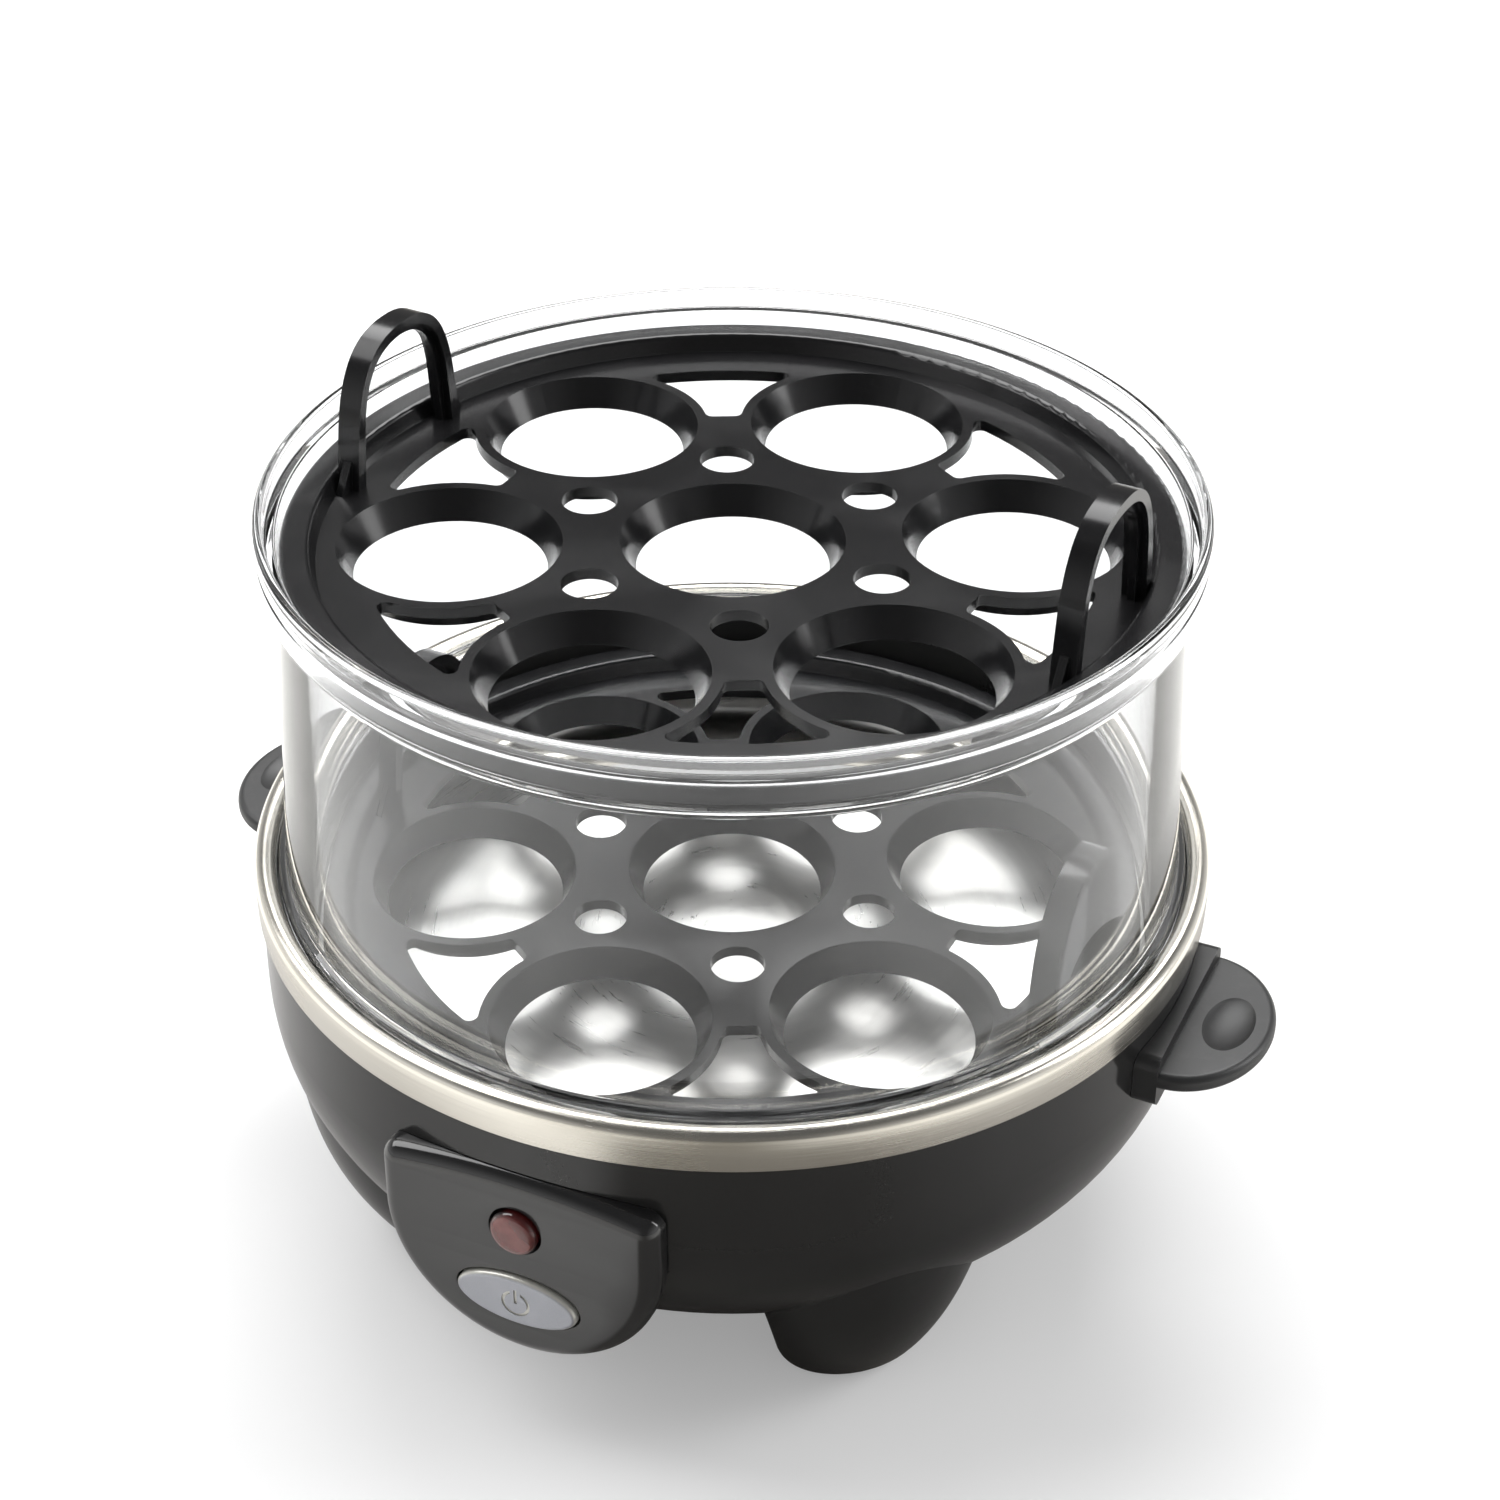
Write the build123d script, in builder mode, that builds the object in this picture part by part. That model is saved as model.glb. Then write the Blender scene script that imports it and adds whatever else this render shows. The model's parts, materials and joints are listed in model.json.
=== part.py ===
import os
from math import cos, radians, sin, sqrt

from build123d import *

os.makedirs("parts", exist_ok=True)

# ---- fits and clearances ----
seat_gap = 0.3            # resting gap between parts that lift apart
snug = 0.05               # gap between parts held in one body
run_fit = 0.08            # radial clearance of a plunger in its bore
thread_fit = 0.02         # gap between a screw or stud and the hole it grips
tray_play = 0.35          # radial play of a tray inside the clear tier
spot_play = 0.2           # radial play of a screw head in its spot face
cover_play = 0.25         # radial play of the cover's rib in the hatch

# ---- egg layout ----
egg_count_outer = 6
seat_r = 16.0
seat_flare = 2.6
seat_web = 9.3
seat_skirt_t = 1.6
seat_skirt_drop = 3.0
seat_axis_angle = 30.0
seat_dish_r = seat_r + seat_flare
seat_ring_r = 2 * seat_dish_r + seat_web

# ---- tray plate ----
tray_border = 8.9
tray_plate_t = 2.0
tray_rim_w = 4.8
tray_rim_foot = 1.0
tray_rim_rise = 3.0
tray_rim_drop = 0.6
tray_rim_edge = 0.9
tray_turn = -3.6
tray_r = seat_ring_r + seat_dish_r + tray_border

# ---- steam cut-outs of a tray ----
vent_point = 3.5
vent_border = 13.4
vent_corner_r = 1.4
vent_web = 1.8
inner_vent_r = 4.7
inner_vent_out = 0.35
vent_apex_r = seat_ring_r - vent_point
vent_outer_r = tray_r - vent_border
inner_vent_ring_r = seat_ring_r / sqrt(3) + inner_vent_out

# ---- lift arch of a tray ----
arch_border = 9.0
arch_span = 32.0
arch_rise = 24.8
arch_width = 4.2
arch_t = 2.0
arch_lean = 1.2
arch_rib_w = 1.4
arch_rib_t = 3.2
arch_straight = 9.0
arch_sink = 0.5
gusset_h = 5.0
gusset_l = 3.2
gusset_lap = 0.4
arch_r = tray_r - arch_border

# ---- clear tier ----
tier_t = 2.1
tier_over_tray = 1.2
tray_ledge_w = 1.3
tier_foot_h = 3.2
tier_foot_t = 2.8
tier_foot_out = 1.4
tier_foot_slope = 1.0
tier_lip_t = 1.7
tier_lip_low = 1.2
tier_lip_edge = 0.6
tier_foot_edge = 0.9
tier_base_edge = 0.4
lid_seat_w = 1.75
lid_seat_z = 3.4
tier_pitch = 68.5
lip_rise = 9.6
tier_wall_low_r = tray_r + tier_over_tray + tier_t
tier_wall_top_r = tray_r - tray_ledge_w + tier_t
tier_foot_r = tier_wall_low_r + tier_foot_out
lid_seat_r = tray_r + tray_play + lid_seat_w
tier_lip_r = lid_seat_r + tier_lip_t

# ---- base shell ----
wall = 2.2
tier_rim_gap = 1.3
tray_collar_gap = 1.6
collar_wall = 2.0
collar_rise = 8.5
rim_rise = 2.2
shelf_z = 57.9
shoulder_z = 50.0
belly_pull_z = 30.0
hip_tuck = 14.2
hip_pull_z = 20.0
hip_in = 1.6
belly_tuck = 26.2
belly_in = 1.4
under_z = 11.5
hatch_border = 13.0
rim_inner_r = tier_foot_r + tier_rim_gap
body_r = rim_inner_r + wall
roll_mid_r = (body_r + rim_inner_r) / 2
hip_pull_r = body_r - hip_tuck
under_r = body_r - belly_tuck
collar_r = tray_r + tray_collar_gap
hatch_r = under_r - hatch_border

# ---- feet ----
foot_angle = 45.0
foot_top_z = 46.0
foot_base_z = 1.0
foot_top_tuck = 2.5
foot_base_tuck = 16.2
foot_top_depth = 22.0
foot_base_depth = 9.0
foot_top_half = 26.0
foot_base_half = 12.6
foot_curve = 2.4
foot_edge = 3.4
foot_slices = 6
pad_r = 5.2
pad_h = 2.4
pad_edge = 0.5
pad_sink = pad_h - foot_base_z
foot_top_reach = body_r - foot_top_tuck
foot_base_reach = body_r - foot_base_tuck
pad_ring_r = foot_base_reach - foot_base_depth

# ---- heating pan ----
pan_t = 0.8
pan_play = 0.4
pan_flange_w = 3.2
pan_depth = 12.9
pan_corner = 4.0
pan_lip_r = 0.5
shelf_gap = 0.9
gasket_w = 1.1
gasket_h = 1.15
gasket_play = 0.2
pan_flange_r = collar_r - pan_play
pan_r = pan_flange_r - pan_flange_w
shelf_r = pan_r + pan_t + shelf_gap
pan_flange_z = shelf_z + snug + gasket_h + pan_t
pan_floor_z = pan_flange_z - pan_depth
pan_under_z = pan_floor_z - pan_t
ledge_z = pan_flange_z + collar_rise
rim_z = ledge_z + rim_rise

# ---- steel trim ----
trim_t = 0.7
trim_fit = 0.1
trim_drop = 5.6
trim_leg = 1.0
trim_edge = 0.25
trim_low_z = rim_z - trim_drop
trim_out_r = body_r + trim_fit + trim_t

# ---- control panel ----
panel_proud = 1.5
panel_t = 4.5
panel_half = 24.6
panel_top_z = 57.8
panel_crown = 2.2
panel_side = 13.3
panel_low_z = 19.8
panel_corner_r = 3.0
panel_edge_r = 2.0
panel_fit = 0.15
panel_skin = 1.4
pod_inset = 1.4
panel_corner_z = panel_top_z - panel_crown
panel_side_z = panel_top_z - panel_side
panel_face_y = -(body_r + panel_proud)
panel_back_y = panel_face_y + panel_t
pod_wall_y = panel_back_y + wall

# ---- button and indicator ----
button_z = 32.0
button_half_w = 10.8
button_half_h = 4.9
button_gap = 0.3
button_proud = 0.9
button_edge = 0.8
button_flange = 1.2
button_flange_t = 1.2
button_travel = 1.5
symbol_r = 2.3
symbol_w = 0.55
symbol_depth = 0.3
symbol_gap = 1.9
symbol_bar = 2.9
symbol_drop = 0.3
lens_rise = 14.6
lens_r = 4.2
lens_flange = 1.1
lens_flange_t = 1.0
lens_window = 0.4
lens_proud = 1.4
lens_bore_depth = 3.9
lamp_r = 2.4
lamp_len = 7.2
lamp_inset = 2.2
lamp_fit = 0.1
lens_z = button_z + lens_rise
lens_flange_r = lens_r + lens_flange
lens_bore_r = lamp_r + lamp_fit

# ---- switch ----
plunger_r = 2.0
plunger_reach = 4.1
stem_r = 1.8
switch_w = 13.0
switch_h = 9.0
switch_d = 11.0
switch_setback = 8.7
switch_flange_side = 1.5
switch_flange_rise = 1.8
switch_flange_t = 1.2
switch_tab_x = 3.5
switch_tab_l = 4.0
switch_tab_w = 3.0
switch_tab_t = 0.8
boss_x = 13.0
boss_rise = 10.6
boss_r = 2.6
boss_drill = 5.0
boss_grip = 4.0
bracket_t = 1.2
bracket_side = 3.2
bracket_drop = 5.8
bracket_head = 2.4
bracket_edge = 1.0
boss_z = button_z + boss_rise
bracket_half = boss_x + bracket_side
bracket_low_z = button_z - bracket_drop
bracket_top_z = boss_z + bracket_head
bracket_neck = switch_w / 2 + switch_flange_side + bracket_edge
switch_face_y = panel_back_y + switch_setback
plunger_tip_y = switch_face_y - plunger_reach
switch_back_y = switch_face_y + switch_d
bracket_y = switch_face_y + wall

# ---- side handles ----
tab_top_z = 57.6
tab_t = 3.2
tab_edge = 1.3
tab_reach = 16.4
tab_half = 17.8
tab_stand = 0.35
tab_wall_t = 1.9
tab_wall_rise = 2.6
tab_wall_drop = 7.4
tab_wall_corner = 2.4
root_boss_r = 2.7
root_reach = 5.4
root_cap = 1.2
dish_reach = 9.0
dish_half_w = 4.2
dish_half_l = 7.4
dish_depth = 1.0
dish_lift = 1.2
dish_ball = 1.19
tab_tip_x = body_r + tab_reach
tab_wall_x = body_r + tab_stand
root_tip_x = body_r + root_reach
dish_x = body_r + dish_reach
tab_wall_low_z = tab_top_z - tab_wall_drop

# ---- fixings ----
screw_r = 1.25
screw_head_r = 2.4
screw_head_t = 1.5
recess_w = 0.7
recess_l = 2.6
recess_depth = 0.8
handle_screw_y = 9.0
handle_screw_drop = 5.4
panel_screw_x = 16.5
panel_screw_rise = 1.8
panel_screw_grip = 2.5
cover_t = 2.0
cover_lap = 5.0
cover_edge = 0.8
cover_screw_out = 2.4
post_r = 3.2
post_h = 8.0
post_cap = 1.0
spot_depth = 0.2
handle_screw_z = tab_top_z - handle_screw_drop
panel_screw_z = lens_z + panel_screw_rise
spot_x = rim_inner_r - spot_depth
cover_r = hatch_r + cover_lap
cover_ring_r = hatch_r + cover_screw_out

# ---- heating parts ----
element_r = 3.2
element_ring_r = 48.0
element_open_angle = 24.0
element_drop = 9.0
element_bend_r = 5.0
terminal_r = 1.6
terminal_len = 4.0
terminal_bead = 2.4
bead_step = 0.4
thermostat_r = 8.5
thermostat_h = 6.0
thermostat_edge = 0.8
thermostat_tab_w = 4.0
thermostat_tab_l = 7.0
thermostat_tab_t = 0.8
clamp_angle = 90.0
clamp_w = 10.0
clamp_t = 1.0
clamp_gap = 1.3
stud_r = 1.5
stud_border = 9.0
stud_len = 9.6
bracket_stud_x = 15.0
bracket_half_w = 5.0
bracket_corner = 1.5
nut_r = 3.2
nut_h = 2.4
fuse_r = 2.2
fuse_len = 16.0
fuse_y = 32.0
fuse_wire_r = 0.75
fuse_wire_l = 3.0
fuse_clip_t = 0.7
fuse_clip_w = 6.0
fuse_clip_half = 5.4
clamp_leg_r = pan_r + pan_t + clamp_gap
stud_ring_r = pan_r - stud_border
clamp_top_z = shelf_z - collar_wall - snug
element_z = pan_under_z - snug - element_r
thermostat_low_z = pan_under_z - snug - thermostat_h
fuse_z = pan_under_z - snug - fuse_r

# ---- cord entry and wiring ----
block_w = 22.0
block_d = 12.0
block_h = 8.0
block_y = 30.0
block_edge = 1.0
block_lead_x = 5.0
block_hole_play = 0.5
block_hole_depth = 3.0
block_screw_r = 1.8
block_screw_depth = 1.2
lead_r = 1.1
lead_end_gap = 0.2
# how far each lead swings out, back, up and down on its way
lead_out = 8.0
lead_back = 3.0
lead_rise = 1.0
lead_drop = 5.0
switch_run_y = -20.0
thermostat_run_y = -36.0
fuse_pass_x = 11.0
fuse_turn_x = 19.0
terminal_pass_x = 10.0
block_loop = 18.0
gland_z = 34.0
gland_bore_r = 3.3
gland_r = 5.0
gland_flange_r = 7.6
gland_flange_t = 1.6
gland_nose = 1.3
gland_taper = 8
gland_nose_r = 5.2
gland_seat_out = 1.4
gland_sleeve = 14.2
block_lead_z = under_z + block_h / 2
gland_face_y = body_r
gland_seat_r = gland_flange_r + gland_seat_out

# ---- heights of the stacked parts ----
lower_plate_z = pan_flange_z + seat_gap + tray_rim_drop
upper_plate_z = lower_plate_z + tier_pitch
tier_low_z = ledge_z + seat_gap
tier_ledge_z = upper_plate_z - tray_rim_drop - seat_gap
tier_top_z = tier_ledge_z + lip_rise


def panel_outline(inset):
    """Half-oval outline with a slightly arched top, drawn flat."""
    half = panel_half - inset
    with BuildSketch() as outline:
        with BuildLine():
            ThreePointArc(
                (-half, panel_corner_z - inset),
                (0, panel_top_z - inset),
                (half, panel_corner_z - inset),
            )
            Line((half, panel_corner_z - inset), (half, panel_side_z))
            EllipticalCenterArc(
                (0, panel_side_z),
                half,
                panel_side_z - panel_low_z - inset,
                start_angle=180,
                arc_size=180,
            )
            Line((-half, panel_side_z), (-half, panel_corner_z - inset))
        make_face()
        corners = outline.vertices().group_by(Axis.Y)[-1]
        fillet(corners, panel_corner_r)
    return outline.sketch


def foot_solid(shrink, base_z):
    """One rounded foot lobe that grows out of the belly, on the +X side."""
    with BuildPart() as lobe:
        for step in range(foot_slices):
            down = step / (foot_slices - 1)
            z = foot_top_z + (base_z - foot_top_z) * down
            reach = foot_top_reach - (foot_top_reach - foot_base_reach) * down ** foot_curve
            depth = foot_top_depth + (foot_base_depth - foot_top_depth) * down
            half = foot_top_half + (foot_base_half - foot_top_half) * down
            with BuildSketch(Plane.XY.offset(z)):
                with Locations((reach - depth, 0)):
                    Ellipse(depth - shrink, half - shrink)
        loft()
        if not shrink:
            fillet(lobe.edges().group_by(Axis.Z)[0], foot_edge)
    return lobe.part


def arch_outline(inset, sink):
    """Tall arch drawn on the tray surface, its feet sunk a little into the plate."""
    half = arch_span / 2 - inset
    with BuildSketch() as outline:
        with BuildLine():
            left = Line((-half, -sink), (-half + arch_lean, arch_straight))
            right = Line((half, -sink), (half - arch_lean, arch_straight))
            Spline(
                left @ 1,
                (0, arch_rise - inset),
                right @ 1,
                tangents=[(arch_lean, arch_straight + sink), (arch_lean, -arch_straight - sink)],
            )
            Line(right @ 0, left @ 0)
        make_face()
    return outline.sketch


def vent_outline():
    """Curved triangle between two neighbouring outer seats, on the +X side."""
    with BuildSketch() as outline:
        Circle(vent_outer_r)
        with Locations((vent_apex_r, 0)):
            Rectangle(vent_outer_r, vent_outer_r, align=(Align.MIN, Align.CENTER), mode=Mode.INTERSECT)
        with PolarLocations(seat_ring_r, 2, start_angle=-seat_axis_angle, angular_range=4 * seat_axis_angle):
            Circle(seat_dish_r + vent_web, mode=Mode.SUBTRACT)
        fillet(outline.vertices(), vent_corner_r)
    return outline.sketch


def tray_solid(plate_z):
    """Seven-seat egg tray with steam cut-outs and two lift arches."""
    with BuildPart() as tray:
        with BuildSketch(Plane.XZ):
            with BuildLine():
                Polyline(
                    (0, plate_z - tray_plate_t),
                    (tray_r - tray_rim_w, plate_z - tray_plate_t),
                    (tray_r - tray_rim_w + tray_rim_drop, plate_z - tray_rim_drop),
                    (tray_r, plate_z - tray_rim_drop),
                    (tray_r, plate_z + tray_rim_rise),
                    (tray_r - tray_rim_w, plate_z + tray_rim_rise),
                    (tray_r - tray_rim_w - tray_rim_foot, plate_z),
                    (0, plate_z),
                    close=True,
                )
            make_face()
        revolve(axis=Axis.Z)
        rim_edges = tray.edges().filter_by(GeomType.CIRCLE).group_by(Axis.Z)[-1]
        fillet(rim_edges, tray_rim_edge)
        # dished seats with skirts, cut right through
        seat_depth = tray_plate_t + seat_skirt_drop
        with Locations((0, 0, plate_z - seat_depth / 2)):
            with PolarLocations(seat_ring_r, egg_count_outer, start_angle=seat_axis_angle):
                Cone(seat_r + seat_skirt_t, seat_dish_r + seat_skirt_t, seat_depth)
            Cone(seat_r + seat_skirt_t, seat_dish_r + seat_skirt_t, seat_depth)
            with PolarLocations(seat_ring_r, egg_count_outer, start_angle=seat_axis_angle):
                Cone(seat_r, seat_dish_r, seat_depth, mode=Mode.SUBTRACT)
            Cone(seat_r, seat_dish_r, seat_depth, mode=Mode.SUBTRACT)
        # curved-triangle cut-outs between neighbouring seats
        with BuildSketch(Plane.XY.offset(plate_z - tray_plate_t - seat_skirt_drop)):
            with PolarLocations(0, egg_count_outer):
                add(vent_outline())
            with PolarLocations(inner_vent_ring_r, egg_count_outer):
                Circle(inner_vent_r)
        extrude(amount=seat_depth, mode=Mode.SUBTRACT)
        # lift arches: a flat strap with a stiffening rib on the inside
        for side in (-1, 1):
            stand = Plane(origin=(side * arch_r, 0, plate_z), x_dir=(0, 1, 0), z_dir=(1, 0, 0))
            with BuildSketch(stand):
                add(arch_outline(0, arch_sink))
                add(arch_outline(arch_t, 2 * tray_plate_t), mode=Mode.SUBTRACT)
            extrude(amount=arch_width / 2, both=True)
            with BuildSketch(stand):
                add(arch_outline(arch_t / 2, arch_sink))
                add(arch_outline(arch_rib_t, 2 * tray_plate_t), mode=Mode.SUBTRACT)
            extrude(amount=arch_rib_w / 2, both=True)
            with BuildSketch(stand):
                with BuildLine():
                    Polyline(
                        (-arch_span / 2 - gusset_l, -arch_sink),
                        (arch_span / 2 + gusset_l, -arch_sink),
                        (arch_span / 2 - gusset_lap, gusset_h),
                        (-arch_span / 2 + gusset_lap, gusset_h),
                        close=True,
                    )
                make_face()
                add(arch_outline(arch_t / 2, 2 * tray_plate_t), mode=Mode.SUBTRACT)
            extrude(amount=arch_rib_w / 2, both=True)
    return tray.part


def panel_backing():
    """Slab that closes the shell behind the top of the panel pocket."""
    with BuildPart() as slab:
        with BuildSketch(Plane.XZ.offset(-panel_back_y)):
            add(panel_outline(-wall))
            with Locations((0, panel_side_z)):
                Rectangle(4 * panel_half, panel_half, align=(Align.CENTER, Align.MIN), mode=Mode.INTERSECT)
        extrude(amount=-wall)
        Cylinder(body_r - wall / 2, 4 * panel_top_z, mode=Mode.INTERSECT)
    return slab.part


def clamp_solid():
    """One pan clamp: foot under the pan, leg past its side, lip under the shell's shelf."""
    foot_low = pan_under_z - snug - clamp_t
    with BuildPart() as clamp:
        with BuildSketch(Plane.XY.offset(foot_low)):
            with Locations((stud_ring_r - clamp_w / 2, 0)):
                Rectangle(
                    clamp_leg_r + clamp_t - stud_ring_r + clamp_w / 2,
                    clamp_w,
                    align=(Align.MIN, Align.CENTER),
                )
            with Locations((stud_ring_r, 0)):
                Circle(stud_r + snug, mode=Mode.SUBTRACT)
        extrude(amount=clamp_t)
        with BuildSketch(Plane.XY.offset(foot_low)):
            with Locations((clamp_leg_r, 0)):
                Rectangle(clamp_t, clamp_w, align=(Align.MIN, Align.CENTER))
        extrude(amount=clamp_top_z - foot_low)
        with BuildSketch(Plane.XY.offset(clamp_top_z)):
            with Locations((clamp_leg_r, 0)):
                Rectangle(collar_r + collar_wall - clamp_leg_r, clamp_w, align=(Align.MIN, Align.CENTER))
        extrude(amount=-clamp_t)
    return clamp.part


def thumb_dish():
    """Flattened ball that hollows the thumb dish of a handle."""
    with BuildPart() as ball:
        Sphere(1.0)
        scale(by=(dish_ball * dish_half_w, dish_ball * dish_half_l, (1 + dish_lift) * dish_depth))
    return ball.part


# ================= base =================

with BuildPart() as base_housing:
    with BuildSketch(Plane.XZ):
        with BuildLine():
            Line((0, under_z), (under_r, under_z))
            Bezier(
                (under_r, under_z),
                (hip_pull_r, hip_pull_z),
                (body_r, belly_pull_z),
                (body_r, shoulder_z),
            )
            Line((body_r, shoulder_z), (body_r, rim_z))
            ThreePointArc((body_r, rim_z), (roll_mid_r, rim_z + wall / 2), (rim_inner_r, rim_z))
            Polyline((rim_inner_r, rim_z), (rim_inner_r, ledge_z), (0, ledge_z), (0, under_z))
        make_face()
    revolve(axis=Axis.Z)
    # foot lobes
    with PolarLocations(0, 4, start_angle=foot_angle):
        add(foot_solid(0, foot_base_z))
    # block that carries the control panel
    with BuildSketch(Plane.XZ.offset(-panel_back_y)):
        add(panel_outline(pod_inset))
    extrude(amount=-(-panel_back_y - under_r))
    # flat boss for the cord gland at the back
    with BuildSketch(Plane.XZ.offset(-gland_face_y)):
        with Locations((0, gland_z)):
            Circle(gland_seat_r)
    extrude(amount=gland_face_y - under_r)
    # hollow belly
    with BuildSketch(Plane.XZ):
        with BuildLine():
            Line((0, under_z + wall), (under_r - belly_in, under_z + wall))
            Bezier(
                (under_r - belly_in, under_z + wall),
                (hip_pull_r - hip_in, hip_pull_z + wall),
                (rim_inner_r, belly_pull_z + wall / 2),
                (rim_inner_r, shoulder_z),
            )
            Polyline(
                (rim_inner_r, shoulder_z),
                (rim_inner_r, ledge_z - wall),
                (collar_r + collar_wall, ledge_z - wall),
                (collar_r + collar_wall, shelf_z - collar_wall),
                (shelf_r, shelf_z - collar_wall),
                (shelf_r, shelf_z),
                (collar_r, shelf_z),
                (collar_r, ledge_z),
                (0, ledge_z),
                (0, under_z + wall),
            )
        make_face()
    revolve(axis=Axis.Z, mode=Mode.SUBTRACT)
    # hollow feet, left solid near the floor for the rubber pads
    with PolarLocations(0, 4, start_angle=foot_angle):
        add(foot_solid(wall, foot_base_z + pad_sink + wall), mode=Mode.SUBTRACT)
    with PolarLocations(pad_ring_r, 4, start_angle=foot_angle):
        with Locations((0, 0, foot_base_z)):
            Cylinder(
                pad_r + snug,
                pad_sink,
                align=(Align.CENTER, Align.CENTER, Align.MIN),
                mode=Mode.SUBTRACT,
            )
    # hollow behind the panel, and the pocket the panel sits in
    with BuildSketch(Plane.XZ.offset(-pod_wall_y)):
        add(panel_outline(pod_inset + wall))
    extrude(amount=-(-pod_wall_y - under_r + wall), mode=Mode.SUBTRACT)
    add(panel_backing())
    with BuildSketch(Plane.XZ.offset(-panel_back_y)):
        add(panel_outline(-panel_fit))
    extrude(amount=panel_t * 2, mode=Mode.SUBTRACT)
    # windows for the indicator and the button
    with BuildSketch(Plane.XZ.offset(-panel_back_y)):
        with Locations((0, button_z)):
            Rectangle(
                2 * (button_half_w + button_flange + seat_gap),
                2 * (button_half_h + button_flange + seat_gap),
            )
        with Locations((0, lens_z)):
            Circle(lens_flange_r + lens_window)
    extrude(amount=-wall, mode=Mode.SUBTRACT)
    # bosses for the switch bracket, drilled for their screws
    with BuildSketch(Plane.XZ.offset(-pod_wall_y)):
        with Locations((-boss_x, boss_z), (boss_x, boss_z)):
            Circle(boss_r)
    extrude(amount=-(-pod_wall_y + switch_face_y + wall))
    with BuildSketch(Plane.XZ.offset(-(switch_face_y + wall))):
        with Locations((-boss_x, boss_z), (boss_x, boss_z)):
            Circle(screw_r + snug)
    extrude(amount=boss_drill, mode=Mode.SUBTRACT)
    # service hatch, and the posts that take the cover screws
    with BuildSketch(Plane.XY.offset(under_z)):
        with PolarLocations(cover_ring_r, 4):
            Circle(post_r)
    extrude(amount=post_h)
    with Locations((0, 0, under_z - wall)):
        Cylinder(
            hatch_r,
            2 * wall + post_h,
            align=(Align.CENTER, Align.CENTER, Align.MIN),
            mode=Mode.SUBTRACT,
        )
    with BuildSketch(Plane.XY.offset(under_z)):
        with PolarLocations(cover_ring_r, 4):
            Circle(screw_r + snug)
    extrude(amount=post_h - post_cap, mode=Mode.SUBTRACT)
    # holes for the handle screws, spot-faced on the inside
    for side in (-1, 1):
        face = Plane(origin=(side * spot_x, 0, 0), x_dir=(0, side, 0), z_dir=(side, 0, 0))
        with BuildSketch(face):
            with Locations((-handle_screw_y, handle_screw_z), (handle_screw_y, handle_screw_z)):
                Circle(screw_r + snug)
        extrude(amount=2 * wall, mode=Mode.SUBTRACT)
        with BuildSketch(face):
            with Locations((-handle_screw_y, handle_screw_z), (handle_screw_y, handle_screw_z)):
                Circle(screw_head_r + spot_play)
        extrude(amount=-2 * wall, mode=Mode.SUBTRACT)
    # holes for the panel screws
    with BuildSketch(Plane.XZ.offset(-panel_back_y)):
        with Locations((-panel_screw_x, panel_screw_z), (panel_screw_x, panel_screw_z)):
            Circle(screw_r + snug)
    extrude(amount=-2 * wall, mode=Mode.SUBTRACT)
    # bore for the cord gland
    with BuildSketch(Plane.XZ.offset(-gland_face_y)):
        with Locations((0, gland_z)):
            Circle(gland_r + snug)
    extrude(amount=gland_face_y - under_r, mode=Mode.SUBTRACT)

with BuildPart() as bottom_cover:
    with Locations((0, 0, under_z - snug)):
        Cylinder(cover_r, cover_t, align=(Align.CENTER, Align.CENTER, Align.MAX))
    fillet(bottom_cover.edges().group_by(Axis.Z)[0], cover_edge)
    # rib that centres the cover in the hatch, open where the screw posts stand
    with BuildSketch(Plane.XY.offset(under_z - snug)):
        Circle(hatch_r - cover_play)
        Circle(hatch_r - cover_play - wall / 2, mode=Mode.SUBTRACT)
        with PolarLocations(cover_ring_r, 4):
            Circle(post_r + seat_gap, mode=Mode.SUBTRACT)
    extrude(amount=wall)
    with BuildSketch(Plane.XY.offset(under_z)):
        with PolarLocations(cover_ring_r, 4):
            Circle(screw_r + snug)
    extrude(amount=-2 * cover_t, mode=Mode.SUBTRACT)

with BuildPart() as cover_screws:
    with BuildSketch(Plane.XY.offset(under_z - cover_t - 2 * snug)):
        with PolarLocations(cover_ring_r, 4):
            Circle(screw_head_r)
    extrude(amount=-screw_head_t)
    fillet(cover_screws.edges().group_by(Axis.Z)[0], pad_edge)
    with BuildSketch(Plane.XY.offset(under_z - cover_t - 2 * snug)):
        with PolarLocations(cover_ring_r, 4):
            Circle(screw_r)
    extrude(amount=cover_t + post_h - 2 * post_cap)
    with BuildSketch(Plane.XY.offset(under_z - cover_t - screw_head_t)):
        with PolarLocations(cover_ring_r, 4):
            Rectangle(recess_w, recess_l)
            Rectangle(recess_l, recess_w)
    extrude(amount=recess_depth, mode=Mode.SUBTRACT)

with BuildPart() as foot_pads:
    with BuildSketch():
        with PolarLocations(pad_ring_r, 4, start_angle=foot_angle):
            Circle(pad_r)
    extrude(amount=pad_h - snug)
    fillet(foot_pads.edges().group_by(Axis.Z)[0], pad_edge)

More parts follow.
